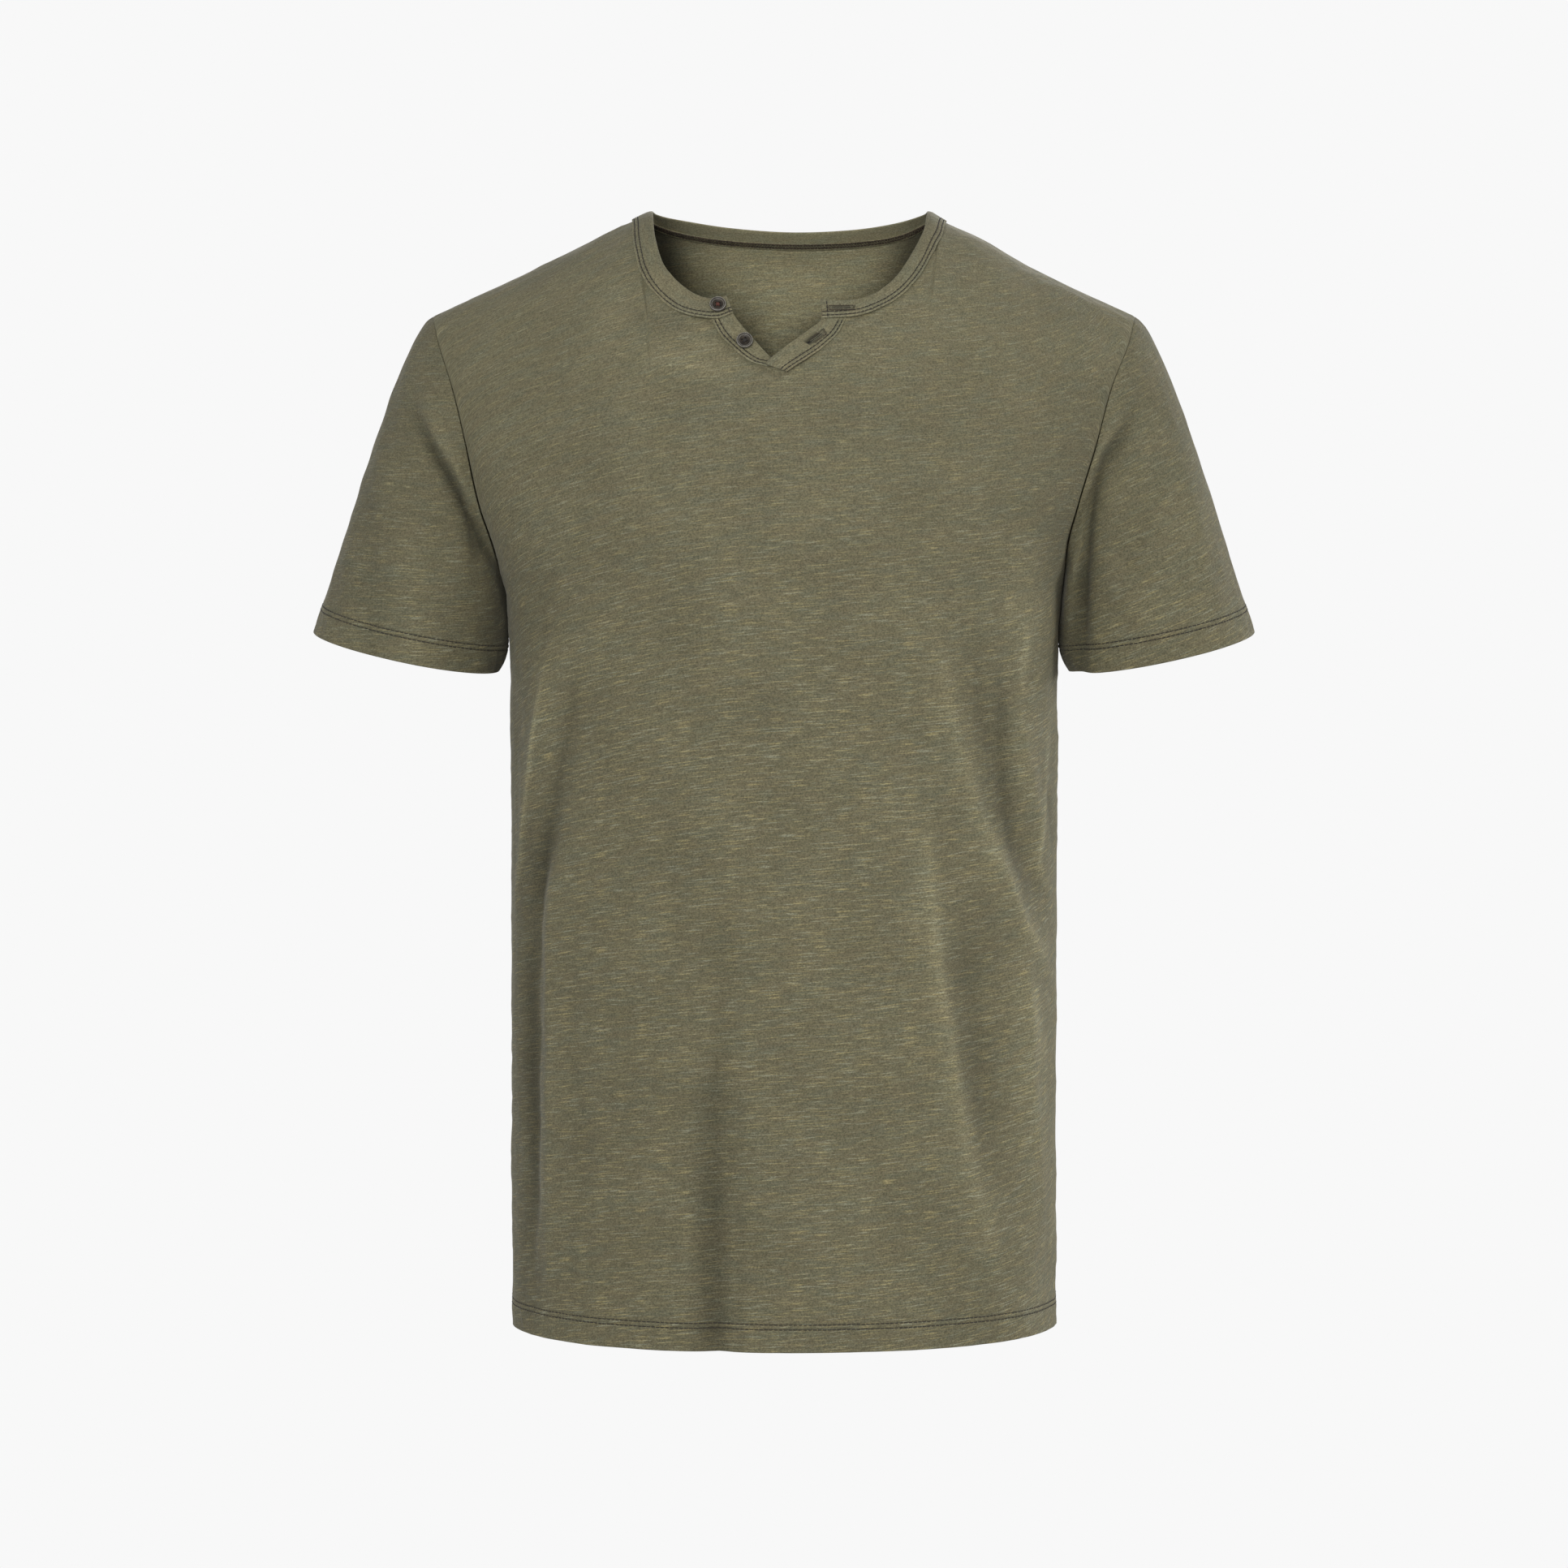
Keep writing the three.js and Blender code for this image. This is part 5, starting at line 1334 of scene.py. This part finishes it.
def inner_tape(name, x, z, outward):
    """A narrow allowance that closes a seam between front and back from inside."""
    aside = np.array([-3.0, 3.0, 3.0, -3.0])
    deep = INNER - SEAM_ROLL - np.array([0.1, 0.1, 0.6, 0.6])
    line = np.stack([x, 0 * x, z], -1)
    points = line[:, None] + outward[:, None] * deep[:, None] + aside[:, None] * np.array([0, 1, 0])
    index = np.arange(len(x) * 4).reshape(len(x), 4)
    index = np.concatenate([index, index[:, :1]], axis=1)
    faces = [list(face) for face in quads(index)]
    faces += [list(index[0, :-1]), list(index[-1, :-1][::-1])]
    piece = make_piece(name, points, faces, PLAIN_JERSEY, points, np.full(points.shape[:2], 0.8))
    turn_outward(piece.data)
    return ride(piece)


def inner_tapes():
    """The allowances inside the two side seams and the two shoulder seams."""
    tapes = []
    for hand, word in ((WEARER_RIGHT, "right"), (WEARER_LEFT, "left")):
        z = np.linspace(HEM_Z + 0.5, ARM_Z - 4, 90)
        x = hand * read(BELOW, "z", z, "half")
        tapes.append(inner_tape(f"side_seam_{word}", x, z, np.broadcast_to([hand, 0, 0], (90, 3))))
        x = hand * np.linspace(99 if hand == WEARER_RIGHT else 106, 218, 60)
        z = read(RIDGE, "x", x, "z")
        slope = np.gradient(z, x)
        outward = unit(np.stack([-slope, 0 * x, 1 + 0 * x], -1))
        tapes.append(inner_tape(f"shoulder_seam_{word}", x, z, outward))
    return tapes


def spot_frame(x, z, lean):
    """A place on the front, with directions along a leaning line, across it, and out of the cloth."""
    point, normal = on_front(np.array([x]), np.array([z]))
    point, normal = point[0], normal[0]
    angle = math.radians(lean)
    lengthwise = np.array([math.cos(angle), 0, math.sin(angle)])
    lengthwise = unit(lengthwise - lengthwise.dot(normal) * normal)
    return point, lengthwise, np.cross(normal, lengthwise), normal


def buttonhole(name):
    """A buttonhole: satin stitches down both sides and across the ends of a slit cut through the strip."""
    x, z, lean, lift, outside = BUTTONHOLES[name]
    point, lengthwise, across, normal = spot_frame(x, z, lean)
    half_slit, half_length, inside = 7.4, 8.5, outside - 0.8
    pitch = 0.5

    def run(a, b):
        flat = point + np.outer(a, lengthwise) + np.outer(b, across)
        return on_front(flat[:, 0], flat[:, 2], np.full(len(a), lift - STRIP_DROP + STRIP_TOP + 0.12))

    runs = []
    count = int(2 * half_slit / pitch)
    a = np.linspace(-half_slit, half_slit, count)
    jitter = 0.12 * ripple(a, 0 * a, 5, 2.1, 7)
    for side in (-1, 1):
        b = side * np.where(np.arange(count) % 2 == 0, inside, outside + jitter)
        runs.append(run(a, b))
    for end in (-1, 1):
        count = int((half_length - half_slit) / (0.5 * pitch))
        a = end * np.linspace(half_slit - 0.2, half_length, count)
        b = np.where(np.arange(count) % 2 == 0, -outside, outside)
        runs.append(run(a, b))
    threads = thread_run(f"buttonhole_{name}", runs, 0.3, HOLE_THREAD)
    lips = []
    for side in (-1, 1):
        a = np.linspace(-half_slit + 0.3, half_slit - 0.3, 40)
        lips.append(run(a, side * (0.45 + 0.04 * ripple(a, 0 * a, 9 + side, 3, 5))))
    lip = thread_run(f"buttonhole_lips_{name}", lips, 0.26, LIP_THREAD)

    cutter = bpy.data.meshes.new("slit")
    corners = [
        point + la * 5.5 * lengthwise + b * 0.1 * across + n * 10 * normal
        for la in (-1, 1) for b in (-1, 1) for n in (-1, 1)
    ]
    faces = [(0, 1, 3, 2), (4, 6, 7, 5), (0, 4, 5, 1), (2, 3, 7, 6), (0, 2, 6, 4), (1, 5, 7, 3)]
    cutter.from_pydata([tuple(c * MM) for c in corners], [], faces)
    turn_outward(cutter)
    return [threads, lip], bpy.data.objects.new("slit", cutter)


def cut_by(piece, cutters):
    """Cuts closed meshes out of a piece and deletes them."""
    for cutter in cutters:
        bpy.context.scene.collection.objects.link(cutter)
        modifier = piece.modifiers.new("cut", "BOOLEAN")
        modifier.operation = "DIFFERENCE"
        modifier.solver = "EXACT"
        modifier.object = cutter
    graph = bpy.context.evaluated_depsgraph_get()
    made = bpy.data.meshes.new_from_object(piece.evaluated_get(graph), depsgraph=graph)
    piece.modifiers.clear()
    piece.data = made
    for cutter in cutters:
        bpy.data.objects.remove(cutter)


# Buttons

BUTTON_PROFILE = table(
    "radius height tone",
    (0, 0, 0.0), (3.2, 0, 0.0), (4.55, 0.12, 0.0), (5.0, 0.5, 0.1), (5.15, 1.1, 0.2), (5.12, 1.75, 0.3),
    (4.98, 2.1, 0.3), (4.86, 2.28, 1.0), (4.62, 2.38, 1.0), (4.5, 2.32, 0.1), (4.15, 2.02, 0.0),
    (3.95, 1.9, 0.1),
    (3.8, 1.88, 0.55), (3.6, 1.84, 0.5), (3.45, 1.7, 0.1), (3.1, 1.5, 0.0), (2.2, 1.4, 0.0),
    (0.8, 1.36, 0.0),
    (0, 1.37, 0.0),
)
HOLE_RADIUS = 0.62
HOLE_SPREAD = 1.5


def button(name, x, z, lift, thread, turn):
    """A dished four-hole button on its thread shank, and the crossed thread through its holes."""
    point, lengthwise, across, normal = spot_frame(x, z, turn)
    base = point + normal * (lift + WALL + SEAM_GAP)

    def place(a, b, h):
        level = base + np.multiply.outer(a, lengthwise) + np.multiply.outer(b, across)
        return level + np.multiply.outer(h, normal)

    sides = 56
    angle = 2 * math.pi * np.arange(sides) / sides
    radius, height = BUTTON_PROFILE["radius"][1:-1], BUTTON_PROFILE["height"][1:-1]
    a = radius[:, None] * np.cos(angle)
    b = radius[:, None] * np.sin(angle)
    points = place(a, b, height[:, None] + 0 * a).reshape(-1, 3)
    tone = np.repeat(BUTTON_PROFILE["tone"][1:-1], sides)
    rings = len(radius)
    index = np.arange(rings * sides).reshape(rings, sides)
    index = np.concatenate([index, index[:, :1]], axis=1)
    faces = [list(face) for face in quads(index)]
    faces += [list(index[0, :-1][::-1]), list(index[-1, :-1])]
    piece = make_piece(f"shell_{name}", points, faces, BUTTON, None, tone)
    cutters = []
    corners = [math.radians(45 + 90 * n) for n in range(4)]
    for corner in corners:
        ring = 14
        turn_by = 2 * math.pi * np.arange(ring) / ring
        a = HOLE_SPREAD * math.cos(corner) + HOLE_RADIUS * np.cos(turn_by)
        b = HOLE_SPREAD * math.sin(corner) + HOLE_RADIUS * np.sin(turn_by)
        low, high = place(a, b, -2 + 0 * a), place(a, b, 5 + 0 * a)
        mesh = bpy.data.meshes.new("hole")
        walls = [(n, (n + 1) % ring, ring + (n + 1) % ring, ring + n) for n in range(ring)]
        ends = [tuple(range(ring))[::-1], tuple(range(ring, 2 * ring))]
        mesh.from_pydata((np.concatenate([low, high]) * MM).tolist(), [], walls + ends)
        turn_outward(mesh)
        cutters.append(bpy.data.objects.new("hole", mesh))
    cut_by(piece, cutters)
    piece.data.set_sharp_from_angle(angle=math.radians(48))
    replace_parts(ride(piece), name)

    runs = []
    t = np.linspace(0, 1, 9)
    for n, (start, end) in enumerate(((corners[0], corners[2]), (corners[1], corners[3]))):
        for strand in (-0.32, 0, 0.32):
            a = mix(math.cos(start), math.cos(end), t) * HOLE_SPREAD
            a = a - math.sin(start) * strand * np.sin(math.pi * t)
            b = mix(math.sin(start), math.sin(end), t) * HOLE_SPREAD
            b = b + math.cos(start) * strand * np.sin(math.pi * t)
            h = 1.0 + (0.72 + 0.2 * n + 0.1 * (strand == 0)) * np.sin(math.pi * t) ** 0.6
            line = place(a, b, h)
            runs.append((line, np.broadcast_to(normal, line.shape)))
    for corner in corners:
        line = place(np.full(5, HOLE_SPREAD * 0.75 * math.cos(corner)),
            np.full(5, HOLE_SPREAD * 0.75 * math.sin(corner)),
                     np.linspace(-1.1, 1.1, 5))
        runs.append((line, np.broadcast_to(lengthwise, line.shape)))
    threads = thread_run(f"thread_{name}", runs, 0.26, thread)
    return piece


# Studio


def studio():
    aim = Vector((0, 0, CAMERA_AIM_Z * MM))
    data = bpy.data.cameras.new("camera")
    data.lens = CAMERA_LENS
    data.sensor_width = 36
    camera = bpy.data.objects.new("camera", data)
    back = Vector((0, -math.cos(CAMERA_ELEVATION), math.sin(CAMERA_ELEVATION)))
    camera.location = aim + back * CAMERA_DISTANCE * MM
    camera.rotation_euler = (-back).to_track_quat("-Z", "Y").to_euler()
    bpy.context.scene.collection.objects.link(camera)
    bpy.context.scene.camera = camera
    bpy.context.scene.view_settings.view_transform = "Standard"

    def light(name, place, size, watts, colour=(1, 1, 1)):
        lamp = bpy.data.lights.new(name, "AREA")
        lamp.shape = "DISK"
        lamp.size = size
        lamp.energy = watts
        lamp.color = colour
        holder = bpy.data.objects.new(name, lamp)
        holder.location = place
        holder.rotation_euler = (aim - Vector(place)).to_track_quat("-Z", "Y").to_euler()
        bpy.context.scene.collection.objects.link(holder)

    light("front", (-0.7, -3.1, 0.5), 1.5, 60)
    light("low", (-0.3, -3.1, -0.6), 1.6, 10)
    light("key", (3.1, -1.2, 0.4), 1.0, 38)
    light("fill", (-3.0, -1.6, 0.1), 1.6, 6)
    light("back_front", (0.3, 3.1, 0.9), 1.5, 60)
    light("back_key", (2.6, 2.2, 0.4), 1.0, 36)
    world = bpy.data.worlds.new("studio")
    world.use_nodes = True
    world.node_tree.nodes["Background"].inputs["Color"].default_value = (1, 1, 1, 1)
    world.node_tree.nodes["Background"].inputs["Strength"].default_value = 0.16
    bpy.context.scene.world = world


def backdrop():
    """A pale floor that curves up into a round wall and a ceiling."""
    floor_z, radius, bend, top = -1.25, 9.0, 2.5, 9.0
    arc = np.linspace(0, QUARTER, 13)
    profile = [(0.0, floor_z)]
    profile += [(radius - bend + bend * math.sin(t), floor_z + bend - bend * math.cos(t)) for t in arc]
    profile += [(radius - bend + bend * math.cos(t), top - bend + bend * math.sin(t)) for t in arc]
    profile += [(0.0, top)]
    sides = 64
    points, faces = [], []
    for r, z in profile:
        points += [
            (r * math.cos(2 * math.pi * n / sides), r * math.sin(2 * math.pi * n / sides), z)
            for n in range(sides)
        ]
    for j in range(len(profile) - 1):
        for n in range(sides):
            m = (n + 1) % sides
            faces.append((j * sides + n, j * sides + m, (j + 1) * sides + m, (j + 1) * sides + n))
    mesh = bpy.data.meshes.new("studio_floor")
    mesh.from_pydata(points, [], faces)
    material, tree, shader = new_material("pale_floor")
    shader.inputs["Base Color"].default_value = (0, 0, 0, 1)
    shader.inputs["Specular IOR Level"].default_value = 0
    shader.inputs["Emission Color"].default_value = (0.939, 0.939, 0.939, 1)
    shader.inputs["Emission Strength"].default_value = 1.0
    mesh.materials.append(material)
    mesh.polygons.foreach_set("use_smooth", [True] * len(mesh.polygons))
    floor = bpy.data.objects.new("studio_floor", mesh)
    bpy.context.scene.collection.objects.link(floor)
    floor.visible_diffuse = False
    floor.visible_shadow = False


studio()
backdrop()

made = {}
for side, name in ((FRONT, "front"), (BACK, "back")):
    made[name] = body_panel(side)
for hand, name in ((WEARER_RIGHT, "sleeve_right"), (WEARER_LEFT, "sleeve_left")):
    made[name] = sleeve(hand)
strips = {name: strip(name, 100 + 10 * n) for n, name in enumerate(STRIPS)}

for name in ("front", "back"):
    _, cloth, normal, _ = made[name]
    sewn(f"hem_stitches_{name}", hem_lines(cloth, normal, cloth[:, 0, 2] - HEM_Z, HEM, -0.15))
for name in ("sleeve_right", "sleeve_left"):
    _, cloth, normal, distance = made[name]
    lines = [closed(line) for line in hem_lines(cloth, normal, distance[:, 0], CUFF_HEM, -0.15)]
    sewn(f"hem_stitches_{name}", lines)

band_last = len(NECKBAND["lift"]) - 1
band_lines = [strip_line("neckband", distance) for distance in STRIP_ROWS]
for row, low, high in ((0.2, 0.02, 0.36), (band_last - 0.27, 0.02, 0.92)):
    band_lines.append(strip_point(STRIPS["neckband"], np.full(12, row), np.linspace(low, high, 12),
        STRIP_TOP + 0.06))
band_stitches = sewn("neckband_stitches", band_lines, pitch=2.7)
placket_stitches = {
    name: sewn(f"{name}_stitches", [strip_line(name, distance, 0.9) for distance in STRIP_ROWS], pitch=2.7)
    for name in ("placket_button", "placket_buttonhole")
}
neck_inside = seam_allowance()
tapes = inner_tapes()

hole_threads = {}
for name in BUTTONHOLES:
    hole_threads[name], slit = buttonhole(name)
    cut_by(strips[name], [slit])
for (name, x, z, lift), thread, turn in zip(BUTTONS, (RED_THREAD, BLACK_THREAD), (0, 30)):
    button(name, x, z, lift, thread, turn)
